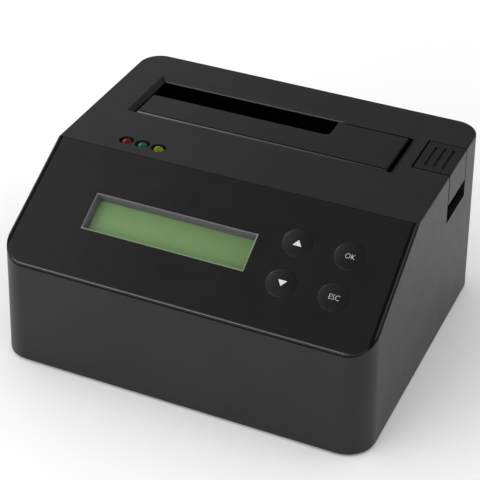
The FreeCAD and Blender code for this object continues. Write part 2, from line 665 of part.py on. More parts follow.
def make_casing():
    """The casing: leaning walls and top in one moulding, open below, with a sunk sloping ledge in front."""
    outer, outer_pad = tapered_block("casing_block", "0", "body_height")
    highest = outer_pad.Shape.BoundBox.ZMax
    body_fillet(outer, outer_pad, lambda middle: abs(middle.z - highest) < ON_PLANE, "edge_round")
    core, core_pad = tapered_block("casing_core", "wall", "body_height - roof")
    above_deck = box("above_deck", ("-base_width", "-panel_length", "-deck_under"),
                     ("base_width", "3 * panel_length", "2 * body_height"), PANEL)
    cavity = cut("casing_cavity", core, [above_deck])
    panel_space = box("panel_space", ("-base_width", "-panel_length", "-panel_thick"),
                      ("base_width", "panel_length", "body_height"), PANEL)
    shell = cut("casing_shell", cut("casing_slope", outer, [panel_space]), [cavity])

    bosses = [peg("corner_boss", (*spot, "floor_top"), "boss_radius", "body_height") for spot in BOSS_SPOTS]
    inner_bosses = common("corner_bosses", join("corner_posts", bosses), cavity)
    lamp_posts = [peg("lamp_post", (*spot, "led_seat"), "post_radius", "ceiling - led_seat")
                  for spot in LED_SCREW_SPOTS]

    mouth = box("slot_mouth", ("mouth_left", "mouth_front", "ceiling - roof"),
                ("mouth_right", "mouth_back", "top + roof"))
    flare = new_body("slot_flare")
    flare_sketch = new_sketch(flare)
    rectangle(flare_sketch, "mouth_left", "mouth_right", "slot_front + slot_bevel", "mouth_back")
    flare_pad = pad(flare, flare_sketch, "2 * slot_bevel")
    flare_pad.TaperAngle = 45
    place(flare, ("0", "0", "top - slot_bevel"))
    deck_opening = box("deck_opening",
                       ("lcd_board_left - deck_margin", "deck_ledge", "-2 * deck_under"),
                       ("key_last + key_board_margin + deck_margin", "panel_length - deck_ledge", "deck"), PANEL)
    eject_notch = box("eject_notch", ("eject_left", "eject_front", "top - eject_window"),
                      ("base_width", "eject_front + eject_length", "top + roof"))
    lamp_holes = [rod("lamp_hole", (f"led_first + {number} * led_pitch", "led_line", "ceiling - roof"),
                      "led_radius + led_clearance", "3 * roof") for number in range(len(LAMPS))]
    port_left, port_right = "rocker_x - port_margin", "usb_x + port_margin"
    port_wall = box("port_wall", (f"{port_left} - wall", "port_inside", "rim + port_low - base_gap"),
                    (f"{port_right} + wall", "half_depth - wall", "rim + port_high + wall"))
    port_recess = box("port_recess", (port_left, "port_face", "rim + port_low"),
                      (port_right, "half_depth + wall", "rim + port_high"))
    usb_hole = box("usb_hole", ("usb_x - usb_width / 2 - fit_gap", "port_inside - wall", "board_top - fit_gap"),
                   ("usb_x + usb_width / 2 + fit_gap", "half_depth", "board_top + usb_height + fit_gap"))
    jack_hole = rod("jack_hole", ("jack_x", "-jack_z", "port_inside - wall"), "jack_snout + fit_gap",
                    "3 * wall", REARWARD)
    rocker_hole = box("rocker_hole", ("rocker_x - rocker_body_wide / 2 - fit_gap", "port_inside - wall",
                                      "rocker_z - rocker_body_tall / 2 - fit_gap"),
                      ("rocker_x + rocker_body_wide / 2 + fit_gap", "half_depth",
                       "rocker_z + rocker_body_tall / 2 + fit_gap"))
    pilots = [peg_hole("boss_pilot", (*spot, "rim"), "screw_radius + run_gap", "base_thick + screw_bite + 1")
              for spot in BOSS_SPOTS]
    pilots += [peg_hole("lamp_pilot", (*spot, "led_seat - 1"), "pin_screw + run_gap", "pin_screw_bite + 1.5")
               for spot in LED_SCREW_SPOTS]
    screw_holes = [peg_hole("deck_hole", (*spot, "-2 * deck_under"), "post_radius + fit_gap", "2 * deck_under",
                            PANEL) for spot in PANEL_SCREW_SPOTS]
    moulding = join("casing_moulding", [shell, inner_bosses, port_wall, *lamp_posts])
    return cut("main_casing", moulding, [mouth, flare, deck_opening, eject_notch, *lamp_holes, port_recess,
                                         usb_hole, jack_hole, rocker_hole, *pilots, *screw_holes])


def make_panel():
    """The sloping panel: the casing's own outline on the slope, with a rounded edge over a shadow groove."""
    blank, blank_pad = tapered_block("panel_blank", "0", "body_height + roof")
    slab = box("panel_slab", ("-base_width", "-panel_length", "-panel_thick"),
               ("base_width", "panel_length - panel_seam", "0"), PANEL)
    plate = common("panel_plate", blank, slab)
    doc.recompute()
    to_panel = slab.Placement.Rotation.inverted()
    corner = Vector(0, value("panel_front"), value("rim + front_height"))
    rear = value("panel_length - panel_seam") - ON_PLANE

    def outer_edges(shape, height):
        """The edges at a height over the panel's face, except the one along the crease."""
        def on_plane(middle):
            spot = to_panel.multVec(middle - corner)
            return abs(spot.z - height) < ON_PLANE and spot.y < rear
        return edges_where(shape, on_plane)

    rounded = doc.addObject("Part::Fillet", "panel_rounded")
    rounded.Base = plate
    radius = value("panel_round")
    rounded.Edges = [(number, radius, radius) for number in outer_edges(plate.Shape, 0)]
    doc.recompute()
    groove_edges = outer_edges(rounded.Shape, -value("panel_thick"))
    grooved = doc.addObject("Part::Chamfer", "panel_grooved")
    grooved.Base = rounded
    grooved.Edges = [(number, value("panel_groove"), value("panel_groove")) for number in groove_edges]

    posts = [peg("lcd_post", (*spot, "-bezel_back"), "post_radius", "bezel_back - panel_thick / 2", PANEL)
             for spot in LCD_SCREW_SPOTS]
    posts += [peg("key_post", (*spot, "-key_board_top"), "post_radius", "key_board_top - panel_thick / 2", PANEL)
              for spot in KEY_SCREW_SPOTS]
    posts += [peg("panel_post", (*spot, "-deck_under"), "post_radius", "deck_under - panel_thick / 2", PANEL)
              for spot in PANEL_SCREW_SPOTS]
    window = box("panel_window", ("window_left", "control_line - window_height / 2", "-2 * panel_thick"),
                 ("window_right", "control_line + window_height / 2", "panel_thick"), PANEL)
    key_holes = [rod("key_hole", (*spot, "-2 * panel_thick"), "key_radius + key_clearance", "3 * panel_thick",
                     PANEL) for spot in KEYS.values()]
    bite = "pin_screw_bite + 0.5"
    pilots = [peg_hole("lcd_pilot", (*spot, "-bezel_back"), "pin_screw + run_gap", bite, PANEL)
              for spot in LCD_SCREW_SPOTS]
    pilots += [peg_hole("key_pilot", (*spot, "-key_board_top"), "pin_screw + run_gap", bite, PANEL)
               for spot in KEY_SCREW_SPOTS]
    pilots += [peg_hole("panel_pilot", (*spot, "-deck_under"), "pin_screw + run_gap", "panel_screw_bite", PANEL)
               for spot in PANEL_SCREW_SPOTS]
    return cut("control_panel", join("panel_moulding", [grooved, *posts]), [window, *key_holes, *pilots])


def panel_ring(name, wide, tall, hole_wide, hole_tall, back, front):
    """A flat frame round the display, from its back to its front depth below the panel's face."""
    body = new_body(name)
    sketch = new_sketch(body)
    for half_x, half_y in ((wide, tall), (hole_wide, hole_tall)):
        rectangle(sketch, f"-({half_x}) / 2", f"({half_x}) / 2", f"-({half_y}) / 2", f"({half_y}) / 2")
    pad(body, sketch, f"({back}) - ({front})")
    return place(body, ("window_middle", "control_line", f"-({back})"), PANEL)


def display_block(name, side, end, back, front):
    """A plate behind the window, larger than it by side and end, between two depths."""
    return box(name, (f"window_left - ({side})", f"control_line - window_height / 2 - ({end})", f"-({back})"),
               (f"window_right + ({side})", f"control_line + window_height / 2 + ({end})", f"-({front})"), PANEL)


def make_display():
    lens_inset = "frame_lip + fit_gap"
    ledge = "2 * (frame_lip + frame_ledge)"
    surround = join("lcd_frame", [
        panel_ring("frame_back", "window_width + 2 * frame_flange", "window_height + 2 * frame_flange",
                   f"window_width - {ledge}", f"window_height - {ledge}", "glass_depth", "panel_thick"),
        panel_ring("frame_front", "window_width - 2 * fit_gap", "window_height - 2 * fit_gap",
                   "window_width - 2 * frame_lip", "window_height - 2 * frame_lip", "panel_thick", "frame_sink"),
    ])
    lens = display_block("lcd_lens", f"-({lens_inset})", f"-({lens_inset})", "panel_thick",
                         "panel_thick - lens_thick")
    glass_top = "glass_depth + bezel_sheet"
    glass_under = f"{glass_top} + glass_thick"
    inside = "- bezel_sheet - fit_gap"
    glass = display_block("lcd_glass", f"bezel_side {inside}", f"bezel_end {inside}", glass_under, glass_top)
    light = display_block("lcd_backlight", f"bezel_side {inside}", f"bezel_end {inside}", "bezel_back",
                          glass_under)
    block = display_block("bezel_block", "bezel_side", "bezel_end", "bezel_back", "glass_depth")
    bezel = cut("lcd_bezel", block, [
        display_block("bezel_space", "bezel_side - bezel_sheet", "bezel_end - bezel_sheet", "2 * bezel_back",
                      glass_top),
        display_block("bezel_mouth", "-frame_lip", "-frame_lip", "2 * bezel_back", "glass_depth / 2"),
    ])
    board = cut("lcd_board", display_block("lcd_board_blank", "lcd_board_side", "lcd_board_end",
                                           "bezel_back + board_thick", "bezel_back"),
                [peg_hole("lcd_board_hole", (*spot, "-2 * bezel_back"), "pin_screw + fit_gap", "2 * bezel_back",
                          PANEL) for spot in LCD_SCREW_SPOTS])
    screws = group("lcd_screws", small_screws("lcd_screw", LCD_SCREW_SPOTS, "-bezel_back - board_thick"))
    return [surround, lens, glass, light, bezel, board, screws]


def small_screws(name, spots, seat, frame=PANEL, length="board_thick + pin_screw_bite"):
    return [small_screw(name, (*spot, seat), length, frame) for spot in spots]


def make_key(name, spot):
    """A low crowned key with a flange behind the panel and a stem that meets its switch plunger."""
    cap = turned_body("key_cap", [
        ("0", "-panel_thick - key_flange"),
        ("key_radius + key_flange", "-panel_thick - key_flange"),
        ("key_radius + key_flange", "-panel_thick"),
        ("key_radius", "-panel_thick"),
        ("key_radius", "key_rim - key_edge"),
        ("key_radius - key_edge", "key_rim"),
        ("key_flat", "key_rim + key_crown"),
        ("0", "key_rim + key_crown"),
    ])
    place(cap, (*spot, "0"), PANEL)
    stem = peg("key_stem", (*spot, "-key_under"), "key_stem_radius", "key_stem + key_flange", PANEL)
    return join(f"key_{name}", [cap, stem])


def make_keys():
    pieces = []
    switches = []
    for name, spot in KEYS.items():
        pieces.append(make_key(name, spot))
        pieces.append(peg(f"plunger_{name}", (*spot, "-switch_top - plunger_hold"), "plunger_radius",
                          "plunger_rise + plunger_hold", PANEL))
        across, along = spot
        block = box("switch_block",
                    (f"{across} - switch_size / 2", f"{along} - switch_size / 2", "-key_board_top"),
                    (f"{across} + switch_size / 2", f"{along} + switch_size / 2", "-switch_top"), PANEL)
        well = peg_hole("switch_well_tool", (*spot, "-switch_top - switch_well"), "plunger_radius + fit_gap",
                        "2 * switch_well", PANEL)
        switches.append(cut(f"switch_{name}", block, [well]))
    pieces.append(group("key_switches", switches))
    blank = box("key_board_blank",
                ("key_first - key_board_margin", "key_low - key_board_margin", "-key_board_top - board_thick"),
                ("key_last + key_board_margin", "key_high + key_board_margin", "-key_board_top"), PANEL)
    pieces.append(cut("key_board", blank, [
        peg_hole("key_board_hole", (*spot, "-2 * key_board_top"), "pin_screw + fit_gap", "2 * key_board_top",
                 PANEL) for spot in KEY_SCREW_SPOTS]))
    pieces.append(group("key_board_screws", small_screws("key_board_screw", KEY_SCREW_SPOTS,
                                                         "-key_board_top - board_thick")))
    return pieces


def make_lamps():
    pieces = []
    for number, colour in enumerate(LAMPS):
        lamp = turned_body(f"led_{colour}", [
            ("0", "0"),
            ("led_radius + led_flange", "0"),
            ("led_radius + led_flange", "led_flange_tall"),
            ("led_radius", "led_flange_tall"),
            ("led_radius", "led_length - led_taper"),
            ("led_flat", "led_length"),
            ("0", "led_length"),
        ])
        pieces.append(place(lamp, (f"led_first + {number} * led_pitch", "led_line", "led_seat")))
    blank = box("led_board_blank",
                ("led_first - led_board_margin", "led_line - led_board_width / 2", "led_seat - board_thick"),
                ("led_first + 2 * led_pitch + led_board_margin", "led_line + led_board_width / 2", "led_seat"))
    pieces.append(cut("led_board", blank, [
        peg_hole("led_board_hole", (*spot, "led_seat - 2 * board_thick"), "pin_screw + fit_gap",
                 "3 * board_thick")
        for spot in LED_SCREW_SPOTS]))
    pieces.append(group("led_board_screws", small_screws("led_board_screw", LED_SCREW_SPOTS,
                                                         "led_seat - board_thick", UPRIGHT)))
    return pieces


def make_base():
    """Base plate with seats for the feet, vents, posts for the bay and board, and ears for the lever pin."""
    body = new_body("base_blank")
    sketch = new_sketch(body)
    half_x, half_y = "(half_width - wall - base_gap)", "(half_depth - wall - base_gap)"
    rectangle(sketch, f"-{half_x}", half_x, f"-{half_y}", half_y, "(corner_radius - wall - base_gap)")
    pad(body, sketch, "base_thick")
    vent_sketch = new_sketch(body)
    first, vent_back = "-(vent_count - 1) * vent_pitch / 2", "crease - vent_setback"
    rectangle(vent_sketch, f"{first} - vent_width / 2", f"{first} + vent_width / 2",
              f"{vent_back} - vent_length", vent_back)
    vent = pocket(body, vent_sketch, "base_thick", upwards=True)
    row_of_vents = body.newObject("PartDesign::LinearPattern", "base_vents")
    row_of_vents.Originals = [vent]
    row_of_vents.Direction = (vent_sketch, ["H_Axis"])
    bind(row_of_vents, "Length", "(vent_count - 1) * vent_pitch")
    bind(row_of_vents, "Occurrences", "vent_count")
    body.Tip = row_of_vents
    place(body, ("0", "0", "rim"))
    doc.recompute()

    posts = [peg("bay_post", (*spot, "floor_top - 1"), "post_radius", "bay_under - floor_top + 1")
             for spot in BAY_POST_SPOTS]
    posts += [peg("board_post", (*spot, "floor_top - 1"), "post_radius", "standoff + 1")
              for spot in BOARD_SCREW_SPOTS]
    ears = []
    for side in ("-", "+"):
        near = "(ear_span - ear_thick)"
        low, high = ("ear_span", near) if side == "-" else (near, "ear_span")
        ears.append(box("lever_ear", ("pivot_x - hub_radius", f"eject_middle {side} {low}", "floor_top - 1"),
                        ("pivot_x + hub_radius", f"eject_middle {side} {high}",
                         "pivot_z + lever_pin + ear_cap")))
    seats = [rod("foot_seat", (*spot, "rim - 1"), "foot_radius + fit_gap", "foot_recess + 1")
             for spot in FOOT_SPOTS]
    holes = []
    for spot in BOSS_SPOTS:
        holes.append(rod("base_screw_hole", (*spot, "rim - 1"), "screw_radius + fit_gap", "base_thick + 2"))
        holes.append(rod("base_counterbore", (*spot, "rim - 1"), "screw_head + fit_gap", "screw_head_tall + 1"))
    holes += [peg_hole("bay_pilot", (*spot, "bay_under - pin_screw_bite - 1"), "pin_screw + run_gap",
                       "pin_screw_bite + 2") for spot in BAY_POST_SPOTS]
    holes += [peg_hole("board_pilot", (*spot, "floor_top"), "pin_screw + run_gap", "standoff + 1")
              for spot in BOARD_SCREW_SPOTS]
    holes.append(rod("ear_bore", ("pivot_x", "-pivot_z", "eject_middle - 2 * ear_span"), "lever_pin",
                     "4 * ear_span", REARWARD))
    plate = cut("base_plate", join("base_moulding", [body, *posts, *ears]), seats + holes)

    feet = group("rubber_feet", [rod("foot", (*spot, "0"), "foot_radius", "rim + foot_recess")
                                 for spot in FOOT_SPOTS])
    screws = []
    for spot in BOSS_SPOTS:
        head = rod("base_screw_head", (*spot, "rim"), "screw_head", "screw_head_tall")
        shank = peg("base_screw_shank", (*spot, "rim"), "screw_radius", "base_thick + screw_bite")
        screws.append(join("base_screw", [head, shank]))
    return [plate, feet, group("base_screws", screws)]


def make_bay():
    """The chute that a drive drops into, with guide ribs, hinge pin holes, spring shelf and stem collar."""
    body = new_body("bay_tube")
    sketch = new_sketch(body)
    rectangle(sketch, "bay_left - bay_wall", "bay_outside", "bay_front - bay_wall", "bay_back + bay_wall")
    pad(body, sketch, "ceiling - bay_under")
    inner = new_sketch(body, offset="bay_floor")
    rectangle(inner, "bay_left", "bay_right", "bay_front", "bay_back")
    pocket(body, inner, "ceiling - bay_under", upwards=True)
    place(body, ("0", "0", "bay_under"))

    ribs = []
    rib_top = "bay_floor_top + guide_height"
    for step in (-1, 0, 1):
        middle = f"(bay_left + bay_right) / 2 + {step} * guide_pitch"
        ribs.append(box("front_rib", (f"{middle} - guide_thick / 2", "bay_front", "bay_floor_top"),
                        (f"{middle} + guide_thick / 2", "bay_front + guide_reach", rib_top)))
    for side in "-+":
        middle = f"(bay_front + bay_back) / 2 {side} guide_side_pitch / 2"
        low_y, high_y = f"{middle} - guide_thick / 2", f"{middle} + guide_thick / 2"
        ribs.append(box("left_rib", ("bay_left", low_y, "bay_floor_top"),
                        ("bay_left + guide_side_reach", high_y, rib_top)))
        ribs.append(box("right_rib", ("bay_right - guide_side_reach", low_y, "bay_floor_top"),
                        ("bay_right", high_y, rib_top)))

    shelf = box("spring_shelf", ("bay_outside", "eject_middle - coil_radius - coil_wire - 1",
                                 "shelf_top - shelf_thick"),
                ("stem_x - stem_width / 2 - slide_gap", "eject_middle + coil_radius + coil_wire + 1",
                 "shelf_top"))
    spigot = rod("shelf_spigot", ("coil_x", "eject_middle", "shelf_top"), "spigot_radius", "spigot_length")
    collar_half = "(stem_depth / 2 + slide_gap + collar_wall)"
    collar = box("stem_collar", ("bay_outside", f"eject_middle - {collar_half}", "rim + collar_height"),
                 ("stem_x + stem_width / 2 + slide_gap + collar_wall", f"eject_middle + {collar_half}",
                  "rim + collar_height + collar_thick"))

    stem_way = box("stem_way",
                   ("stem_x - stem_width / 2 - slide_gap", "eject_middle - stem_depth / 2 - slide_gap",
                                "rim"),
                   ("stem_x + stem_width / 2 + slide_gap", "eject_middle + stem_depth / 2 + slide_gap", "top"))
    pin_way = cross_rod("pin_way", "bay_left - 2 * bay_wall", "bay_right + 2 * bay_wall", "hinge_y", "hinge_z",
                        "pin_radius + run_gap")
    finger_way = box("finger_way", ("pivot_x - finger_arm - finger_width / 2 - finger_room",
                                    "eject_middle - lever_width / 2 - slide_gap", "rim"),
                     ("pivot_x - hub_room", "eject_middle + lever_width / 2 + slide_gap", "bay_floor_top + 1"))
    sata_way = box("sata_way",
                   ("sata_x - sata_length / 2 - slide_gap", "sata_y - sata_depth / 2 - slide_gap", "rim"),
                   ("sata_x + sata_length / 2 + slide_gap", "sata_y + sata_depth / 2 + slide_gap",
                    "bay_floor_top + 1"))
    holes = []
    for spot in BAY_POST_SPOTS:
        holes.append(peg_hole("bay_hole", (*spot, "rim"), "pin_screw + fit_gap", "bay_floor_height + 1"))
        holes.append(peg_hole("bay_counterbore", (*spot, "bay_floor_top - pin_screw_head_tall - fit_gap"),
                              "pin_screw_head + fit_gap", "pin_screw_head_tall + 1"))
    chute = cut("drive_bay", join("bay_moulding", [body, *ribs, shelf, spigot, collar]),
                [stem_way, pin_way, finger_way, sata_way, *holes])
    seat = "bay_floor_top - pin_screw_head_tall - fit_gap"
    length = "bay_floor - pin_screw_head_tall - fit_gap + pin_screw_bite"
    screws = group("bay_screws", [small_screw("bay_screw", (*spot, seat), length, head_out=True)
                                  for spot in BAY_POST_SPOTS])
    return [chute, screws]


def make_flap():
    """The L-shaped flap, its tucked-under hinge barrel, the hinge pin and the spring that closes it."""
    plate = new_body("flap_plate")
    sketch = new_sketch(plate)
    outline(sketch, [
        ("flap_left", "flap_front"), ("flap_right", "flap_front"), ("flap_right", "flap_back"),
        ("notch_right", "flap_back"), ("notch_right", "notch_front + notch_round", "-notch_round"),
        ("notch_right - notch_round", "notch_front"), ("flap_left", "notch_front"),
    ])
    plate_pad = pad(plate, sketch, "flap_thick")
    thick = value("flap_thick")
    body_fillet(plate, plate_pad, lambda middle: abs(middle.z - thick) < ON_PLANE, "flap_round")
    place(plate, ("0", "0", "flap_under"))

    neck = new_body("flap_neck")
    neck_sketch = new_sketch(neck, "YZ_Plane", "barrel_left")
    neck_back = "flap_front + neck_thick"
    outline(neck_sketch, [
        ("hinge_y", "hinge_z - barrel_radius"), (neck_back, "hinge_z - barrel_radius / 2"),
        (neck_back, "flap_under"), ("flap_front", "flap_under"),
        ("flap_front", "hinge_z + barrel_radius / 2"), ("hinge_y", "hinge_z + barrel_radius / 2"),
    ])
    pad(neck, neck_sketch, "barrel_right - barrel_left")
    barrel = cross_rod("flap_barrel", "barrel_left", "barrel_right", "hinge_y", "hinge_z", "barrel_radius")
    bore = cross_rod("flap_bore", "barrel_left - 1", "barrel_right + 1", "hinge_y", "hinge_z",
                     "pin_radius + run_gap")
    flap = cut("slot_flap", join("flap_moulding", [plate, neck, barrel]), [bore])
    pin = cross_rod("flap_pin", "bay_left - bay_wall", "bay_right + bay_wall", "hinge_y", "hinge_z",
                    "pin_radius")
    return [flap, pin]


def coil(name, radius, wire, pitch, turns, left_handed=False):
    """A coil spring about Z: its wire swept along a helix that starts at +X."""
    path = doc.addObject("Part::Helix", name + "_path")
    path.LocalCoord = "Left-handed" if left_handed else "Right-handed"
    bind(path, "Radius", radius)
    bind(path, "Pitch", pitch)
    bind(path, "Height", f"({pitch}) * ({turns})")
    section = doc.addObject("Part::RegularPolygon", name + "_wire")
    bind(section, "Polygon", "wire_side_count")
    bind(section, "Circumradius", f"({wire}) / 2")
    section.Placement = FreeCAD.Placement(Vector(), FreeCAD.Rotation(Vector(1, 0, 0), 90))
    bind(section, "Placement.Base.x", radius)
    doc.recompute()
    spring = doc.addObject("Part::Sweep", name)
    spring.Sections = [section]
    spring.Spine = (path, [f"Edge{number}" for number in range(1, len(path.Shape.Edges) + 1)])
    spring.Solid = True
    spring.Frenet = True
    return spring


def make_flap_spring():
    """A torsion coil round the hinge pin: one leg lies under the flap, the other on the bay's front wall."""
    turns = coil("flap_coil", "hinge_coil", "hinge_wire", "hinge_pitch", "hinge_turns", left_handed=True)
    start = "(flap_left + hinge_leg_inset)"
    end = f"({start} - hinge_pitch * hinge_turns)"
    turns.Placement = FreeCAD.Placement(Vector(), FreeCAD.Rotation(Vector(0, 1, 0), -90))
    place(turns, (start, "hinge_y", "hinge_z"))
    rear_leg = rod("flap_leg_rear", (start, "-hinge_z - hinge_coil", "hinge_y"), "hinge_wire / 2", "hinge_leg",
                   REARWARD)
    front_leg = rod("flap_leg_front", (end, "hinge_y - hinge_coil", "hinge_z - hinge_leg"), "hinge_wire / 2",
                    "hinge_leg")
    return join("flap_spring", [turns, rear_leg, front_leg])


def make_eject():
    """The eject button: cut from the casing's own corner, with grooves, a skirt, a stem and a spring spigot."""
    blank, blank_pad = tapered_block("eject_blank", "0", "body_height")
    highest = blank_pad.Shape.BoundBox.ZMax
    body_fillet(blank, blank_pad, lambda middle: abs(middle.z - highest) < ON_PLANE, "edge_round")
    front, back = "eject_front + eject_gap", "eject_front + eject_length - eject_gap"
    region = box("eject_region", ("eject_left + eject_gap", front, "top - eject_skirt"),
                 ("base_width", back, "top"))
    skirt_inside = "half_width - body_height * lean - eject_plate"
    hollow = box("eject_hollow", ("eject_left", "eject_front", "top - eject_window"),
                 (skirt_inside, "eject_front + eject_length", "top - eject_plate"))
    cap = cut("eject_cap", common("eject_corner", blank, region), [hollow])
    stem = box("eject_stem", ("stem_x - stem_width / 2", "eject_middle - stem_depth / 2", "rim + stem_end"),
               ("stem_x + stem_width / 2", "eject_middle + stem_depth / 2", "top - eject_plate / 2"))
    spigot = rod("eject_spigot",
                 ("coil_x", "eject_middle", "top - eject_plate - spigot_length"), "spigot_radius",
                 "spigot_length + eject_plate / 2")

    grooves = new_body("eject_grooves")
    sketch = new_sketch(grooves)
    first = "eject_left + groove_inset"
    rectangle(sketch, f"{first} - groove_width / 2", f"{first} + groove_width / 2",
              "eject_middle - groove_length / 2", "eject_middle + groove_length / 2", "groove_round")
    groove = pad(grooves, sketch, "2 * groove_depth")
    row_of_grooves = grooves.newObject("PartDesign::LinearPattern", "eject_groove_row")
    row_of_grooves.Originals = [groove]
    row_of_grooves.Direction = (sketch, ["H_Axis"])
    bind(row_of_grooves, "Length", "2 * groove_pitch")
    row_of_grooves.Occurrences = 3
    grooves.Tip = row_of_grooves
    place(grooves, ("0", "0", "top - groove_depth"))
    doc.recompute()
    lug_top = "(rim + collar_height - slide_gap)"
    lug = box("stem_lug", ("stem_x - stem_width / 2 - slide_gap - lug_reach", "eject_middle - stem_depth / 2",
                           f"{lug_top} - lug_height"), ("stem_x", "eject_middle + stem_depth / 2", lug_top))
    button = cut("eject_button", join("eject_moulding", [cap, stem, lug, spigot]), [grooves])

    rise = "(top - eject_plate - shelf_top - coil_wire - fit_gap)"
    spring = coil("eject_spring", "coil_radius", "coil_wire", f"{rise} / coil_turns", "coil_turns")
    place(spring, ("coil_x", "eject_middle", "shelf_top + coil_wire / 2 + fit_gap / 2"))
    return [button, spring]


def make_lever():
    """The rocking lever under the bay: the stem pushes one arm down and the finger lifts the drive."""
    body = new_body("lever_blank")
    sketch = new_sketch(body, "XZ_Plane")
    tip = "lever_arm + lever_tip"
    tread = "stem_end - lever_gap - pivot_height"
    finger_top = "bay_floor_height - fit_gap - pivot_height"
    finger_right = "-finger_arm + finger_width / 2"
    finger_left = "-finger_arm - finger_width / 2"
    outline(sketch, [
        (finger_left, "finger_foot"), ("0", "-hub_radius"), (tip, f"{tread} - lever_thick"), (tip, tread),
        ("lever_arm - stem_width / 2 - lever_tip", tread), ("0", "hub_radius"), (finger_right, "hub_radius"),
        (finger_right, finger_top), (finger_left, finger_top),
    ])
    pad(body, sketch, "lever_width", symmetric=True)
    place(body, ("pivot_x", "eject_middle", "pivot_z"))
    hub = rod("lever_hub",
              ("pivot_x", "-pivot_z", "eject_middle - lever_width / 2"), "hub_radius", "lever_width",
              REARWARD)
    bore = rod("lever_bore", ("pivot_x", "-pivot_z", "eject_middle - lever_width"), "lever_pin + run_gap",
               "2 * lever_width", REARWARD)
    lever = cut("eject_lever", join("lever_moulding", [body, hub]), [bore])
    pin = rod("eject_pin", ("pivot_x", "-pivot_z", "eject_middle - ear_span"), "lever_pin", "2 * ear_span",
              REARWARD)
    return [lever, pin]


def make_main_board():
    blank = box("main_board_blank", ("board_left", "board_front", "board_under"),
                ("board_right", "board_back", "board_top"))
    board = cut("main_board", blank, [
        peg_hole("main_board_hole", (*spot, "rim"), "pin_screw + fit_gap", "2 * board_under")
        for spot in BOARD_SCREW_SPOTS])
    screws = group("board_screws", [
        small_screw("board_screw", (*spot, "board_top"), "board_thick + standoff", head_out=True)
        for spot in BOARD_SCREW_SPOTS])
    chips = []
    for number in range(2):
        across, along = f"board_left + chip_inset + {number} * chip_pitch", "board_front + chip_setback"
        chips.append(box("chip", (across, along, "board_top"),
                         (f"{across} + chip_size", f"{along} + chip_size", "board_top + chip_thick")))
    chips = group("board_chips", chips)
    capacitors = group("board_capacitors", [
        peg("capacitor", (f"board_right - can_inset - {number} * can_pitch", "board_front + can_setback",
                          "board_top"), "can_radius", "can_height") for number in range(2)])

    connector = new_body("sata_connector")
    sketch = new_sketch(connector)
    rectangle(sketch, "-sata_length / 2", "sata_length / 2", "-sata_depth / 2", "sata_depth / 2", "1")
    tall = "(bay_floor_top + sata_rise - board_top)"
    pad(connector, sketch, tall)
    slots = new_sketch(connector, offset=f"{tall} - sata_slot_deep")
    start = "-(sata_data + sata_web + sata_power) / 2"
    rectangle(slots, start, f"{start} + sata_data", "-sata_slot / 2", "sata_slot / 2")
    power = f"{start} + sata_data + sata_web"
    rectangle(slots, power, f"{power} + sata_power", "-sata_slot / 2", "sata_slot / 2")
    pocket(connector, slots, "2 * sata_slot_deep", upwards=True)
    place(connector, ("sata_x", "sata_y", "board_top"))
    return [board, screws, chips, capacitors, connector]


def make_sockets():
    """Data socket, power socket and power switch in the rear wall."""
    shell = new_body("usb_shell")
    sketch = new_sketch(shell)
    rectangle(sketch, "-usb_width / 2", "usb_width / 2", "-usb_height", "0")
    pad(shell, sketch, "usb_depth")
    mouth = new_sketch(shell, offset="usb_back")
    inside = "(usb_width / 2 - usb_sheet)"
    narrow = f"({inside} - usb_step)"
    outline(mouth, [
        (f"-{inside}", "-usb_shoulder"), (f"-{narrow}", "-usb_shoulder"),
        (f"-{narrow}", "-usb_height + usb_sheet"),
        (narrow, "-usb_height + usb_sheet"), (narrow, "-usb_shoulder"), (inside, "-usb_shoulder"),
        (inside, "-usb_sheet"), (f"-{inside}", "-usb_sheet"),
    ])
    pocket(shell, mouth, "usb_depth", upwards=True)
    usb_inner = "(port_face + usb_proud - usb_depth)"
    place(shell, ("usb_x", "-board_top", usb_inner), REARWARD)
    tongue_low = "(board_top + tongue_lift)"
    tongue = box("usb_tongue", ("usb_x - tongue_width / 2", f"{usb_inner} + usb_back", tongue_low),
                 ("usb_x + tongue_width / 2", f"{usb_inner} + usb_depth - tongue_sink",
                  f"{tongue_low} + tongue_height"))

    block = box("jack_block", ("jack_x - jack_width / 2", "port_inside - fit_gap - jack_depth", "board_top"),
                ("jack_x + jack_width / 2", "port_inside - fit_gap", "board_top + jack_height"))
    snout = rod("jack_nose", ("jack_x", "-jack_z", "port_inside - wall"), "jack_snout", "2 * wall", REARWARD)
    bore_end = "(port_face - jack_bore_deep)"
    bore = rod("jack_bore_tool", ("jack_x", "-jack_z", bore_end), "jack_bore", "2 * jack_bore_deep", REARWARD)
    jack = cut("dc_jack", join("jack_moulding", [block, snout]), [bore])
    pin = rod("dc_pin", ("jack_x", "-jack_z", bore_end), "jack_pin", "jack_bore_deep - jack_pin_sink", REARWARD)
    return [shell, tongue, jack, pin]


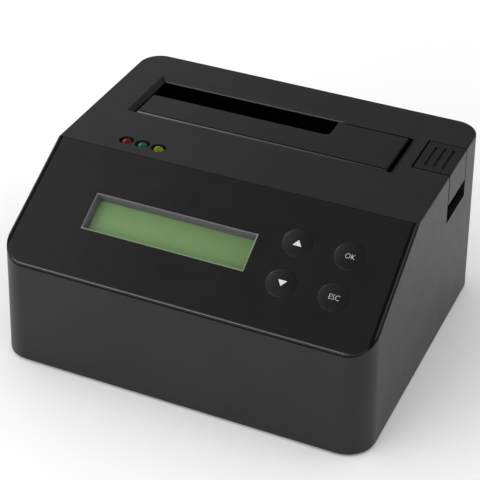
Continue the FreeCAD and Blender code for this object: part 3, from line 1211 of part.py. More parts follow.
def make_power_switch():
    """A snap-in rocker switch on the floor of the port recess, with its rocker pressed in at the top."""
    def standing_block(name, wide, tall, inner, outer):
        return box(name, (f"rocker_x - ({wide}) / 2", inner, f"rocker_z - ({tall}) / 2"),
                   (f"rocker_x + ({wide}) / 2", outer, f"rocker_z + ({tall}) / 2"))

    bezel = standing_block("rocker_bezel", "rocker_bezel_wide", "rocker_bezel_tall", "port_face",
                           "port_face + rocker_bezel_thick")
    case = standing_block("rocker_case", "rocker_body_wide", "rocker_body_tall", "port_face - rocker_body_deep",
                          "port_face + rocker_bezel_thick / 2")
    well = standing_block("rocker_well", "rocker_wide + 2 * slide_gap", "rocker_tall + 2 * slide_gap",
                          "port_face - rocker_body_deep / 2", "half_depth")
    axle_left = "rocker_x - rocker_wide / 2 - rocker_seat"
    axle_right = "rocker_x + rocker_wide / 2 + rocker_seat"
    bore = cross_rod("rocker_bore", f"{axle_left} - fit_gap", f"{axle_right} + fit_gap", "axle_y", "rocker_z",
                     "rocker_axle + run_gap")
    body = cut("switch_body", join("switch_moulding", [bezel, case]), [well, bore])

    paddle = new_body("rocker_paddle")
    sketch = new_sketch(paddle, "YZ_Plane")
    end, rise = "rocker_tall / 2", "rocker_dip + rocker_tall / 2 * tan(rocker_throw)"
    outline(sketch, [
        (f"-{end}", rise), (f"-{end} + rocker_taper", "-rocker_foot"), (f"{end} - rocker_taper", "-rocker_foot"),
        (end, rise), ("0", "rocker_dip"),
    ])
    pad(paddle, sketch, "rocker_wide", symmetric=True)
    paddle.Placement = FreeCAD.Placement(Vector(), FreeCAD.Rotation(Vector(1, 0, 0), 1))
    place(paddle, ("rocker_x", "axle_y", "rocker_z"))
    bind(paddle, "Placement.Rotation.Angle", "rocker_throw - 90")
    axle = cross_rod("rocker_axle_rod", axle_left, axle_right, "axle_y", "rocker_z", "rocker_axle")
    return [body, join("power_rocker", [paddle, axle])]


def make_ribbon():
    """The flat ribbon from the display board to the main board: square out of its header, then straight down."""
    left, right = "window_middle - ribbon_width / 2", "window_middle + ribbon_width / 2"
    upper = box("lcd_header", (left, "header_line - header_depth / 2", "-header_end"),
                (right, "header_line + header_depth / 2", "-header_end + header_height"), PANEL)
    lower_top = "board_top + header_height"
    lower = box("board_header", (left, "ribbon_y - header_depth / 2", "board_top"),
                (right, "ribbon_y + header_depth / 2", lower_top))

    body = new_body("lcd_ribbon")
    sketch = new_sketch(body, "YZ_Plane", left)
    half = "(ribbon_thick / 2)"
    start_y = "panel_front + header_line * cos(slope) + header_end * sin(slope)"
    start_z = "rim + front_height + header_line * sin(slope) - header_end * cos(slope)"
    bend_z = "rim + front_height + header_line * sin(slope) - bend_depth * cos(slope)"
    mitre = f"{half} * tan(slope / 2)"
    outline(sketch, [
        (f"{start_y} - {half} * cos(slope)", f"{start_z} - {half} * sin(slope)"),
        (f"ribbon_y - {half}", f"{bend_z} - {mitre}"),
        (f"ribbon_y - {half}", lower_top),
        (f"ribbon_y + {half}", lower_top),
        (f"ribbon_y + {half}", f"{bend_z} + {mitre}"),
        (f"{start_y} + {half} * cos(slope)", f"{start_z} + {half} * sin(slope)"),
    ])
    pad(body, sketch, "ribbon_width")
    return [upper, lower, body]


NODES = [make_casing(), make_panel(), *make_display(), *make_keys(), *make_lamps(), *make_base(), *make_bay(),
         *make_flap(), make_flap_spring(), *make_eject(), *make_lever(), *make_main_board(), *make_sockets(),
         *make_power_switch(),
         *make_ribbon()]
NODES.append(group("panel_screws", small_screws("panel_screw", PANEL_SCREW_SPOTS, "-deck_under",
                                                length="panel_screw_bite - fit_gap")))
doc.recompute()

for item in doc.Objects:
    if "Invalid" in item.State or "Error" in item.State:
        raise RuntimeError(f"{item.Label} failed: {item.State}")
for node in NODES:
    if node.Shape.isNull() or not node.Shape.isValid():
        raise RuntimeError(f"{node.Label} has no valid shape")

os.makedirs("parts", exist_ok=True)
for node in NODES:
    node.Shape.exportStep(f"parts/{node.Label}.step")
    print(f"{node.Label}: {len(node.Shape.Solids)} solids, {node.Shape.Volume:.1f} mm3")
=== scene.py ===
import json
import math

import bmesh
import bpy
from mathutils import Matrix, Vector
from mathutils.bvhtree import BVHTree


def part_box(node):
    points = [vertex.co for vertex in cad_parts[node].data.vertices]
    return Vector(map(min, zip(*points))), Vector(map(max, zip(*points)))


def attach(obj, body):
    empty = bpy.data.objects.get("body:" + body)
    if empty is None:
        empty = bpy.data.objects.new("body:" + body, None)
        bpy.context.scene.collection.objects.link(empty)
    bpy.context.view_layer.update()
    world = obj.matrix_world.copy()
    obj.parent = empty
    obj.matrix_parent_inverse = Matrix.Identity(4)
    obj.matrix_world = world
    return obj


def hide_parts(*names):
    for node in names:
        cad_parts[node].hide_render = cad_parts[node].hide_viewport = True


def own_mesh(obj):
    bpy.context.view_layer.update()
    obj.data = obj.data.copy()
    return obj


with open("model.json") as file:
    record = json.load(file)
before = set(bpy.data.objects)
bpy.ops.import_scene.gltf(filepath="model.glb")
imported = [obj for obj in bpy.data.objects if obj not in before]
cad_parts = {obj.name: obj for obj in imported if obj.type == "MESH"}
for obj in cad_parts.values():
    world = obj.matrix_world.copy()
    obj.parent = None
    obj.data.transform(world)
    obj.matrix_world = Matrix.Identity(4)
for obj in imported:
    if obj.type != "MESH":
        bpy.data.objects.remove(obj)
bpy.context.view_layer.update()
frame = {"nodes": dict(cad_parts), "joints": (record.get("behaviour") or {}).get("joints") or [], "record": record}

# Named sizes are in millimetres, and MM turns them into metres. NEAR and MERGE are tolerances in metres.
MM = 0.001
NEAR = 0.01 * MM
MERGE = 0.002 * MM

NODES = frame["nodes"]
BODY_OF = {node: body for body, nodes in frame["record"]["behaviour"]["bodies"].items() for node in nodes}
SLOT_OF = {item["node"]: item["material_slot"] for item in frame["record"]["subparts"]}
JOINTS = {joint["name"]: joint for joint in frame["joints"]}


def points(node):
    return [vertex.co.copy() for vertex in NODES[node].data.vertices]


def middle_of(node):
    low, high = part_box(node)
    return (low + high) / 2


# Directions: those of the sloping panel come from the way that its keys go in
ACROSS = Vector((1, 0, 0))
UPRIGHT = Vector((0, 0, 1))
PRESSED = JOINTS["key_ok_press"]["axis"]
SLOPE = math.atan2(PRESSED[1], -PRESSED[2])
OUT = Vector((0, -math.sin(SLOPE), math.cos(SLOPE)))
UPHILL = Vector((0, math.cos(SLOPE), math.sin(SLOPE)))
PANEL_FACE = max(spot.dot(OUT) for spot in points("control_panel"))
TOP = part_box("main_casing")[1].z


def depth_of(spot):
    """How deep a spot lies under the panel's face."""
    return PANEL_FACE - spot.dot(OUT)


# Shader nodes

def fill(tree, node, inputs):
    """Join each named or numbered input to another node's output, or set it to a plain value."""
    for name, value in inputs.items():
        if isinstance(value, bpy.types.NodeSocket):
            tree.links.new(value, node.inputs[name])
        else:
            node.inputs[name].default_value = value


def add(tree, kind, inputs=None, **properties):
    """Add a node with its properties and inputs."""
    node = tree.nodes.new(kind)
    for name, value in properties.items():
        setattr(node, name, value)
    fill(tree, node, inputs or {})
    return node


def new_material(name):
    material = bpy.data.materials.new(name)
    material.use_nodes = True
    tree = material.node_tree
    return material, tree, tree.nodes["Principled BSDF"]


def object_space(tree, turn=0.0, stretch=(1, 1, 1), shift=(0, 0, 0)):
    """Object coordinates, stretched, turned about X and shifted."""
    spot = add(tree, "ShaderNodeTexCoord").outputs["Object"]
    inputs = {"Vector": spot, "Rotation": (turn, 0, 0), "Scale": stretch, "Location": shift}
    return add(tree, "ShaderNodeMapping", inputs, vector_type="POINT").outputs["Vector"]


def axes(tree, turn=0.0):
    """The object coordinates, turned about X, each by its letter."""
    return add(tree, "ShaderNodeSeparateXYZ", {"Vector": object_space(tree, turn)}).outputs


def noise(tree, vector, scale, detail=3.0):
    inputs = {"Vector": vector, "Scale": scale, "Detail": detail}
    return add(tree, "ShaderNodeTexNoise", inputs).outputs["Fac"]


def calc(tree, operation, *values, clamp=False):
    """The result of one operation on sockets and plain numbers."""
    inputs = dict(enumerate(values))
    return add(tree, "ShaderNodeMath", inputs, operation=operation, use_clamp=clamp).outputs[0]


def below(tree, socket, limit):
    """One where a value lies under a limit and nought elsewhere."""
    return calc(tree, "LESS_THAN", socket, limit)


def span(tree, value, start, end, low=0.0, high=1.0):
    """Map the range from start to end to the range from low to high."""
    inputs = {"Value": value, "From Min": start, "From Max": end, "To Min": low, "To Max": high}
    return add(tree, "ShaderNodeMapRange", inputs).outputs["Result"]


def spread(tree, factor, low, high):
    """Map a noise to the range from low to high."""
    return span(tree, factor, 0.3, 0.7, low, high)


def tones(tree, factor, stops):
    """Colours along a factor, from pairs of a place and a colour."""
    node = add(tree, "ShaderNodeValToRGB", {"Fac": factor})
    elements = node.color_ramp.elements
    while len(elements) < len(stops):
        elements.new(0.5)
    for element, (place, colour) in zip(elements, stops):
        element.position = place
        element.color = (*colour, 1)
    return node.outputs["Color"]


def ramp(tree, factor, dark, light, low=0.35, high=0.65):
    return tones(tree, factor, ((low, dark), (high, light)))


def mix(tree, factor, first, second, kind="MIX"):
    """Two colours, mixed by a factor."""
    inputs = {0: factor, 6: first, 7: second}
    return add(tree, "ShaderNodeMix", inputs, data_type="RGBA", blend_type=kind).outputs[2]


def bump(tree, height, strength, depth):
    """A surface normal that follows a height."""
    inputs = {"Height": height, "Strength": strength, "Distance": depth}
    return add(tree, "ShaderNodeBump", inputs).outputs["Normal"]


# Materials

def grey(tone, blue=0.0):
    return (tone, tone, tone + blue)


def plastic(name, dark, light, rough, grain=2600.0, relief=0.25, depth=0.04, specular=0.35):
    """Moulded plastic: soft blotches of two close colours, uneven gloss and a fine grain."""
    material, tree, shader = new_material(name)
    space = object_space(tree)
    fill(tree, shader, {
        "Base Color": ramp(tree, noise(tree, space, 55.0), dark, light),
        "Roughness": spread(tree, noise(tree, space, 140.0, 4.0), *rough),
        "Specular IOR Level": specular,
        "Normal": bump(tree, noise(tree, space, grain, 2.0), relief, depth * MM),
    })
    return material


# How many times duller the gloss is along a painted line than round it
SHADE_DULL = 5


def painted_line_finish(tree, shader, colour, dark, specular):
    """Give a finish a new colour, and dull its gloss where its painted lines of light and shade run."""
    fill(tree, shader, {
        "Base Color": colour,
        "Specular IOR Level": span(tree, dark, 0.0, 1.0, specular, specular / SHADE_DULL),
    })


def plain_colour(shader):
    """The colour that a finish has so far."""
    return shader.inputs["Base Color"].links[0].from_socket


# The flap's hinged edge: reach of the painted highlight strip and of the painted shade line behind it, and depth
# of both
EDGE_HIGHLIGHT = 0.42
EDGE_SHADE = 1.1
EDGE_DEEP = 0.85
# Colours of the painted highlight, at the right and at the left
EDGE_HIGHLIGHT_TONES = (grey(0.028, 0.001), grey(0.16, 0.006))


def painted_edge_highlight(material, specular):
    """Paint a highlight on the flap's hinged edge, brighter at the left where the light falls, and a line of
    painted shade behind it.
    """
    tree = material.node_tree
    shader = tree.nodes["Principled BSDF"]
    plate = points("slot_flap")
    limit = max(spot.z for spot in plate) - EDGE_DEEP * MM
    upper = [spot for spot in plate if spot.z > limit]
    front = min(spot.y for spot in upper)
    place = axes(tree)
    under = below(tree, place["Z"], limit)

    def strip(reach):
        return calc(tree, "SUBTRACT", below(tree, place["Y"], front + reach * MM), under, clamp=True)

    # Painted shade in a dark line behind the edge, and a painted highlight on the edge that fades from the left to
    # the right
    dark = strip(EDGE_SHADE)
    fade = span(tree, place["X"], max(spot.x for spot in upper), min(spot.x for spot in upper))
    highlight_tone = ramp(tree, fade, *EDGE_HIGHLIGHT_TONES, 0.0, 1.0)
    painted_lines = mix(tree, dark, plain_colour(shader), (*grey(0.002), 1))
    painted_line_finish(tree, shader, mix(tree, strip(EDGE_HIGHLIGHT), painted_lines, highlight_tone), dark, specular)
    return material


# The panel's sides: reach of the dark band of painted shade and of the pale line of painted highlight, and depth
# of the pale line
RIM_SHADE = 2.1
RIM_HIGHLIGHT = 0.95
RIM_DEEP = 0.2
# How far to the right a face of the casing's outer side points and lies, as a share
OUTWARD = 0.9


def panel_painted_rim(material, specular):
    """Along the panel's sides, painted shade in a dark band, a painted highlight in a paler line on the rounding
    and painted shade in a dark line at the casing.
    """
    tree = material.node_tree
    shader = tree.nodes["Principled BSDF"]
    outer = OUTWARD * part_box("main_casing")[1].x
    walls = [face for face in NODES["main_casing"].data.polygons
             if face.normal.x > OUTWARD and face.center.x > outer]
    side = max(walls, key=lambda face: face.area)
    edge = side.normal.dot(side.center) / side.normal.x
    place = axes(tree)
    lean = side.normal.z / side.normal.x
    reach = calc(tree, "MULTIPLY_ADD", place["Z"], lean, calc(tree, "ABSOLUTE", place["X"]))
    deep = below(tree, axes(tree, -SLOPE)["Z"], PANEL_FACE - RIM_DEEP * MM)
    # Painted highlight in a pale line on the rounding; painted shade in a dark band inside it and in a dark line
    # at the casing
    off_highlight_line = calc(tree, "MAXIMUM", below(tree, reach, edge - RIM_HIGHLIGHT * MM), deep)
    dark = calc(tree, "SUBTRACT", off_highlight_line, below(tree, reach, edge - RIM_SHADE * MM), clamp=True)
    painted_lines = mix(tree, off_highlight_line, (*grey(0.026, 0.0005), 1), plain_colour(shader))
    painted_line_finish(tree, shader, mix(tree, dark, painted_lines, (*grey(0.003), 1)), dark, specular)
    return material


def metal(name, dark, light, rough):
    """Plain metal with drawn lines along one axis."""
    material, tree, shader = new_material(name)
    lines = noise(tree, object_space(tree, stretch=(40.0, 2200.0, 2200.0)), 1.0)
    fill(tree, shader, {
        "Base Color": ramp(tree, noise(tree, object_space(tree), 120.0), dark, light),
        "Roughness": spread(tree, lines, *rough),
        "Metallic": 1.0,
        "Normal": bump(tree, lines, 0.12, 0.03 * MM),
    })
    return material


# Traces on the boards
TRACE_LONG = 6.1
TRACE_PITCH = 1.3
TRACE_GAP = 0.17


def circuit_board(name):
    """Green solder mask over traces, with tinned pads."""
    material, tree, shader = new_material(name)
    space = object_space(tree)
    traces = add(tree, "ShaderNodeTexBrick", {
        "Vector": space, "Scale": 1.0, "Brick Width": TRACE_LONG * MM, "Row Height": TRACE_PITCH * MM,
        "Mortar Size": TRACE_GAP * MM, "Color1": (0.006, 0.075, 0.03, 1), "Color2": (0.007, 0.085, 0.034, 1),
        "Mortar": (0.012, 0.13, 0.05, 1),
    }, offset=0.37, squash=1.6, squash_frequency=3).outputs
    pads = add(tree, "ShaderNodeTexVoronoi", {"Vector": space, "Scale": 210.0, "Randomness": 0.75})
    on_pad = below(tree, pads.outputs["Distance"], 0.16)
    fill(tree, shader, {
        "Base Color": mix(tree, on_pad, traces["Color"], (0.55, 0.55, 0.5, 1)),
        "Roughness": spread(tree, noise(tree, space, 300.0), 0.28, 0.42),
        "Normal": bump(tree, traces["Fac"], 0.25, 0.04 * MM),
    })
    return material


# Character cells of the display
CELL_WIDE = 3.55
CELL_TALL = 5.95
CELL_GAP = 0.29


def display(name):
    """A blank two-line character display: yellow-green, with painted light that brightens it towards the left, and
    faint cells.
    """
    material, tree, shader = new_material(name)
    low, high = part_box("lcd_glass")
    middle = (low + high) / 2
    shift = Vector((-middle.x, -middle.dot(UPHILL), 0))
    cells = add(tree, "ShaderNodeTexBrick", {
        "Vector": object_space(tree, -SLOPE, shift=shift), "Scale": 1.0, "Brick Width": CELL_WIDE * MM,
        "Row Height": CELL_TALL * MM, "Mortar Size": CELL_GAP * MM, "Mortar Smooth": 0.3,
        "Color1": (0.160, 0.275, 0.106, 1), "Color2": (0.162, 0.277, 0.108, 1),
        "Mortar": (0.169, 0.288, 0.114, 1),
    }, offset=0.0, squash=1.0)
    haze = noise(tree, object_space(tree), 30.0, 2.0)
    hazy = mix(tree, 1.0, cells.outputs["Color"], ramp(tree, haze, grey(0.95), grey(1)), "MULTIPLY")
    # Painted light: about a fifth brighter towards the left, where the light falls
    fade = span(tree, axes(tree)["X"], low.x, high.x, 1.0, 0.0)
    light = ramp(tree, fade, (1.0, 0.98, 0.94), (1.2, 1.22, 1.24), 0.0, 1.0)
    fill(tree, shader, {
        "Base Color": mix(tree, 1.0, hazy, light, "MULTIPLY"),
        "Roughness": spread(tree, haze, 0.3, 0.4),
        "Specular IOR Level": 0.3,
    })
    return material


# The window's surround: depth, share of it that is rim, reach of the rim painted pale, and tones by depth: painted
# light near the top, painted shade midway and painted green light from the display at the bottom
SURROUND_DEPTH = 4.5
SURROUND_RIM = 0.09
SURROUND_LIP = 0.9
SURROUND_SHADE_TONES = (
    (0.0, (0.12, 0.117, 0.127)),
    (0.12, (0.13, 0.127, 0.138)),
    (0.45, (0.115, 0.112, 0.124)),
    (1.0, (0.135, 0.155, 0.122)),
)


def surround(name):
    """The window's moulding: grey walls with painted light and shade by depth, green near the display, and a rim
    at the front and the right painted pale as if lit by the display.
    """
    material, tree, shader = new_material(name)
    place = axes(tree, -SLOPE)
    depth = span(tree, place["Z"], PANEL_FACE, PANEL_FACE - SURROUND_DEPTH * MM)
    rim = [spot for spot in points("lcd_frame") if depth_of(spot) < MM]
    front = below(tree, place["Y"], min(spot.dot(UPHILL) for spot in rim) + SURROUND_LIP * MM)
    right = calc(tree, "GREATER_THAN", place["X"], max(spot.x for spot in rim) - SURROUND_LIP * MM)
    # Painted light: the rim at the front and the right is pale green, as if lit by the display
    painted_rim_light = calc(tree, "MULTIPLY", calc(tree, "MAXIMUM", front, right), below(tree, depth, SURROUND_RIM))
    fill(tree, shader, {
        "Base Color": mix(tree, painted_rim_light, tones(tree, depth, SURROUND_SHADE_TONES), (0.19, 0.235, 0.15, 1)),
        "Roughness": spread(tree, noise(tree, object_space(tree), 400.0), 0.42, 0.52),
        "Specular IOR Level": 0.2,
    })
    return material


def clear_sheet(name):
    """A thin clear window that mostly lets light pass, with faint wipe marks."""
    material, tree, shader = new_material(name)
    space = object_space(tree, stretch=(1, 6, 1))
    fill(tree, shader, {
        "Base Color": ramp(tree, noise(tree, space, 60.0), grey(0.02), grey(0.03)),
        "Roughness": spread(tree, noise(tree, space, 90.0), 0.04, 0.12),
        "Alpha": 0.06,
    })
    return material


def lamp(name, deep, bright):
    """Tinted clear resin, a little cloudy, with a hard gloss."""
    material, tree, shader = new_material(name)
    space = object_space(tree)
    fill(tree, shader, {
        "Base Color": ramp(tree, noise(tree, space, 650.0, 1.0), deep, bright),
        "Roughness": spread(tree, noise(tree, space, 900.0), 0.02, 0.05),
        "Specular IOR Level": 0.3,
    })
    return material


# Pitch of the ribbon's leads
RIBBON_LEAD = 1.27


def striped_ribbon(name):
    """Flat ribbon: grey leads side by side, with grooves between them that are painted darker as shade."""
    material, tree, shader = new_material(name)
    space = object_space(tree)
    inputs = {"Vector": space, "Scale": 0.31 / (RIBBON_LEAD * MM)}
    wave = add(tree, "ShaderNodeTexWave", inputs, wave_type="BANDS", bands_direction="X").outputs["Fac"]
    fill(tree, shader, {
        # Painted shade: the grooves are darker than the leads
        "Base Color": ramp(tree, wave, grey(0.26), grey(0.38), 0.1, 0.4),
        "Roughness": spread(tree, noise(tree, space, 300.0), 0.42, 0.55),
        "Normal": bump(tree, wave, 0.5, 0.2 * MM),
    })
    return material


LOOKS = {
    "casing": plastic("casing_plastic", grey(0.0105, 0.0005), grey(0.0125, 0.0005), (0.385, 0.415),
                      relief=0.15, specular=0.29),
    "panel": panel_painted_rim(plastic("panel_plastic", grey(0.0055, 0.0005), grey(0.007, 0.0005), (0.26, 0.29),
                                 relief=0.12), 0.3),
    "key": plastic("key_plastic", grey(0.005, 0.0005), grey(0.007, 0.0005), (0.3, 0.36), relief=0.1,
                   specular=0.28),
    "flap": painted_edge_highlight(plastic("flap_plastic", grey(0.0085, 0.0005), grey(0.0105, 0.0005), (0.36, 0.4),
                                relief=0.15), 0.3),
    "eject": plastic("eject_plastic", grey(0.0075, 0.0005), grey(0.0095, 0.0005), (0.385, 0.415),
                     relief=0.15, specular=0.27),
    # The bay's plastic is darker than any black plastic here and has no gloss: painted shade deep in the slot
    "bay": plastic("bay_shade_plastic", grey(0.0005), grey(0.0008), (0.7, 0.8), specular=0.0),
    "grey": surround("surround_plastic"),
    "white": plastic("white_plastic", grey(0.68, -0.04), grey(0.74, -0.04), (0.4, 0.5)),
    "plunger": plastic("plunger_plastic", grey(0.012), grey(0.02), (0.35, 0.45)),
    "connector": plastic("connector_plastic", grey(0.011), grey(0.016), (0.38, 0.48)),
    "rocker": plastic("rocker_plastic", grey(0.009), grey(0.012), (0.25, 0.33)),
    "rubber": plastic("foot_rubber", grey(0.013), grey(0.021), (0.75, 0.9), grain=1500.0, relief=0.6,
                      depth=0.1, specular=0.2),
    "ribbon": striped_ribbon("ribbon_plastic"),
    "can": metal("can_metal", grey(0.45, 0.02), grey(0.55, 0.02), (0.25, 0.4)),
    "bezel": metal("bezel_metal", grey(0.05), grey(0.08), (0.35, 0.5)),
    "steel": metal("steel", grey(0.42, 0.01), grey(0.55, 0.01), (0.25, 0.42)),
    "tin": metal("tin_plate", grey(0.6, -0.01), grey(0.72, -0.02), (0.22, 0.36)),
    "board": circuit_board("circuit_board"),
    "lcd": display("display_film"),
    "clear": clear_sheet("clear_sheet"),
    "led_red": lamp("lamp_red", (0.045, 0.0001, 0.0007), (0.11, 0.0003, 0.002)),
    "led_green": lamp("lamp_green", (0.0015, 0.04, 0.018), (0.004, 0.09, 0.042)),
    "led_yellow": lamp("lamp_yellow", (0.08, 0.085, 0.0003), (0.19, 0.2, 0.0006)),
}
PRINT = plastic("white_print", grey(0.56, -0.01), grey(0.62, -0.01), (0.5, 0.6), relief=0.1)


# Making pieces

def new_object(name, data):
    item = bpy.data.objects.new(name, data)
    bpy.context.scene.collection.objects.link(item)
    return item


def plain_mesh(item):
    """A plain mesh of an object as its modifiers, or its letters, leave it."""
    graph = bpy.context.evaluated_depsgraph_get()
    return bpy.data.meshes.new_from_object(item.evaluated_get(graph))


def apply_modifiers(piece):
    mesh = piece.data
    piece.data = plain_mesh(piece)
    piece.modifiers.clear()
    bpy.data.meshes.remove(mesh)


def finish_mesh(bm, name, material, sharp=32.0):
    """Turn a bmesh into a piece: smooth faces, sharp creases and even shading on its large faces."""
    for face in bm.faces:
        face.smooth = True
    for edge in bm.edges:
        edge.smooth = len(edge.link_faces) == 2 and edge.calc_face_angle() < math.radians(sharp)
    mesh = bpy.data.meshes.new(name)
    bm.to_mesh(mesh)
    bm.free()
    piece = new_object(name, mesh)
    piece.modifiers.new("even", "WEIGHTED_NORMAL").keep_sharp = True
    apply_modifiers(piece)
    piece.data.materials.clear()
    piece.data.materials.append(material)
    return piece


def finish_new(bm, name, material):
    """Turn a bmesh that was made here into a piece, with its faces outwards."""
    bmesh.ops.recalc_face_normals(bm, faces=bm.faces)
    return finish_mesh(bm, name, material)


def settle(piece, body, slot, *nodes):
    """Let a piece ride on a body and stand for CAD nodes, which it hides. The slot is not used."""
    if nodes:
        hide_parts(*nodes)
    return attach(piece, body)


def stand_in(piece, node):
    """Let a piece take a CAD node's place."""
    settle(piece, BODY_OF[node], SLOT_OF[node], node)


def copy_of(node):
    """A copy of a CAD node's mesh, with its loose triangles merged."""
    bm = bmesh.new()
    bm.from_mesh(NODES[node].data)
    bmesh.ops.remove_doubles(bm, verts=bm.verts, dist=MERGE)
    return bm


def rings(spots, centre, axis):
    """Radius and height of points about an axis."""
    found = []
    for spot in spots:
        height = (spot - centre).dot(axis)
        found.append(((spot - centre - height * axis).length, height))
    return found


def ring(bm, centre, radius, side, front, sides):
    """A closed ring of points round a centre, or the centre alone where the radius is nought."""
    if radius == 0:
        return [bm.verts.new(centre)]
    turns = [2 * math.pi * step / sides for step in range(sides)]
    return [bm.verts.new(centre + radius * (math.cos(turn) * side + math.sin(turn) * front))
            for turn in turns]


def band(bm, lower, upper):
    """Faces between two closed rings, of which one may be a single point."""
    count = max(len(lower), len(upper))
    for step in range(count):
        after = (step + 1) % count
        corners = [lower[step % len(lower)], lower[after % len(lower)],
                   upper[after % len(upper)], upper[step % len(upper)]]
        bm.faces.new(list(dict.fromkeys(corners)))


def turn_profile(bm, profile, centre, axis, sides):
    """Turn a profile of radii and heights about an axis; returns its rings."""
    front = axis.cross(ACROSS)
    loops = [ring(bm, centre + height * axis, radius, ACROSS, front, sides) for radius, height in profile]
    for lower, upper in zip(loops, loops[1:]):
        band(bm, lower, upper)
    return loops


def lathe(node, profile, centre, axis, material, sides):
    """Take a CAD node's place with a piece turned from a profile that runs from the axis to the axis."""
    bm = bmesh.new()
    turn_profile(bm, profile, centre, axis, sides)
    stand_in(finish_new(bm, node + "_look", material), node)


# Keys and their legends

KEYS = ("up", "down", "ok", "esc")
# Gap that a cap fills, rounding of its edge, and share of the solid's crown that is drawn
KEY_FILL = 0.13
KEY_EDGE = 0.12
KEY_EDGE_STEPS = 5
KEY_SIDES = 96
CROWN_SHARE = 0.55
CROWN_STEPS = 10


def key_centre(name):
    """The spot on the panel's face under the middle of a key."""
    along = [spot.dot(UPHILL) for spot in points(f"key_{name}")]
    middle = middle_of(f"key_{name}").x * ACROSS
    return middle + UPHILL * (min(along) + max(along)) / 2 + OUT * PANEL_FACE


KEY_CENTRES = {name: key_centre(name) for name in KEYS}


def make_key(name):
    """A key with a smoothly rounded crown; returns the crown's height over the panel at any radius."""
    node = f"key_{name}"
    found = rings(points(node), KEY_CENTRES[name], OUT)
    under = min(height for radius, height in found)
    stem = max(radius for radius, height in found if height < under + NEAR)
    flange = max(radius for radius, height in found)
    flange_low = min(height for radius, height in found if radius > flange - NEAR)
    flange_high = max(height for radius, height in found if radius > flange - NEAR)
    shown = [(radius, height) for radius, height in found if height > flange_high + NEAR]
    cap = max(radius for radius, height in shown)
    rim = max(height for radius, height in shown if radius > cap - NEAR)
    top = max(height for radius, height in found)
    cap += KEY_FILL * MM
    edge = KEY_EDGE * MM

    def crown(radius):
        return rim + CROWN_SHARE * (top - rim) * (1 - (radius / cap) ** 2)

    profile = [(0, under), (stem, under), (stem, flange_low), (flange, flange_low), (flange, flange_high),
               (cap, flange_high), (cap, rim - edge)]
    for step in range(1, KEY_EDGE_STEPS):
        turn = math.pi / 2 * step / KEY_EDGE_STEPS
        radius = cap - edge * (1 - math.cos(turn))
        profile.append((radius, crown(radius) - edge * (1 - math.sin(turn))))
    for step in range(CROWN_STEPS, -1, -1):
        radius = (cap - edge) * step / CROWN_STEPS
        profile.append((radius, crown(radius)))
    lathe(node, profile, KEY_CENTRES[name], OUT, LOOKS["key"], KEY_SIDES)
    return crown


# Print on the keys: letters, their strokes and widths, the shift on a key, and arrows
LEGEND_DEPTH = 0.03
LEGEND_TALL = 1.95
LEGEND_THIN = -0.022
LEGEND_STRETCH = 0.88
LEGEND_SHIFT = (0.5, -0.25)
ARROW_WIDE = 3.4
ARROW_TALL = 2.4
ARROW_CUTS = 7


def text_mesh(words):
    """Flat letters about their own middle, with a little depth."""
    tall = LEGEND_TALL * MM
    data = bpy.data.curves.new("words", "FONT")
    data.body = words
    data.extrude = LEGEND_DEPTH * MM / tall
    data.offset = LEGEND_THIN
    data.resolution_u = 4
    item = new_object("words", data)
    mesh = plain_mesh(item)
    bpy.data.objects.remove(item)
    bm = bmesh.new()
    bm.from_mesh(mesh)
    bpy.data.meshes.remove(mesh)
    for axis in (0, 1):
        low = min(vertex.co[axis] for vertex in bm.verts)
        high = max(vertex.co[axis] for vertex in bm.verts)
        for vertex in bm.verts:
            vertex.co[axis] -= (low + high) / 2
    scale = tall / (2 * max(vertex.co.y for vertex in bm.verts))
    for vertex in bm.verts:
        vertex.co *= scale
        vertex.co.x *= LEGEND_STRETCH
    return bm


def arrow_mesh(sign):
    """A triangle that points up or down, divided so that it can follow a curved key."""
    bm = bmesh.new()
    corners = [(-ARROW_WIDE / 2, -ARROW_TALL / 2 * sign), (ARROW_WIDE / 2, -ARROW_TALL / 2 * sign),
               (0, ARROW_TALL / 2 * sign)]
    lower, upper = ([bm.verts.new((x * MM, y * MM, depth * MM)) for x, y in corners]
                    for depth in (-LEGEND_DEPTH, LEGEND_DEPTH))
    bm.faces.new(lower)
    bm.faces.new(upper)
    band(bm, lower, upper)
    flat = [edge for edge in bm.edges if abs(edge.verts[0].co.z - edge.verts[1].co.z) < LEGEND_DEPTH * MM]
    bmesh.ops.subdivide_edges(bm, edges=flat, cuts=ARROW_CUTS, use_grid_fill=True)
    return bm


def legend(name, bm, crown):
    """Lay flat marks on a key's crown."""
    for vertex in bm.verts:
        across, along, depth = vertex.co
        across += LEGEND_SHIFT[0] * MM
        along += LEGEND_SHIFT[1] * MM
        height = crown(math.hypot(across, along)) + depth + LEGEND_DEPTH * MM / 2
        vertex.co = KEY_CENTRES[name] + across * ACROSS + along * UPHILL + height * OUT
    settle(finish_new(bm, f"legend_{name}", PRINT), BODY_OF[f"key_{name}"], "white")


ARROWS = {"up": 1, "down": -1}
for name in KEYS:
    crown = make_key(name)
    marks = arrow_mesh(ARROWS[name]) if name in ARROWS else text_mesh(name.upper())
    legend(name, marks, crown)


# Lamps

LAMP_STEPS = 12
LAMP_SIDES = 48


def make_lamp(node):
    """A lamp with a round end."""
    low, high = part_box(node)
    centre = Vector(((low.x + high.x) / 2, (low.y + high.y) / 2, low.z))
    found = rings(points(node), centre, UPRIGHT)
    flange = max(radius for radius, height in found)
    flange_tall = max(height for radius, height in found if radius > flange - NEAR)
    body = max(radius for radius, height in found if height > flange_tall + NEAR)
    tall = high.z - low.z
    profile = [(0, 0), (flange, 0), (flange, flange_tall), (body, flange_tall)]
    for step in range(LAMP_STEPS):
        turn = math.pi / 2 * step / LAMP_STEPS
        profile.append((body * math.cos(turn), tall - body * (1 - math.sin(turn))))
    profile.append((0, tall))
    lathe(node, profile, centre, UPRIGHT, LOOKS[node], LAMP_SIDES)


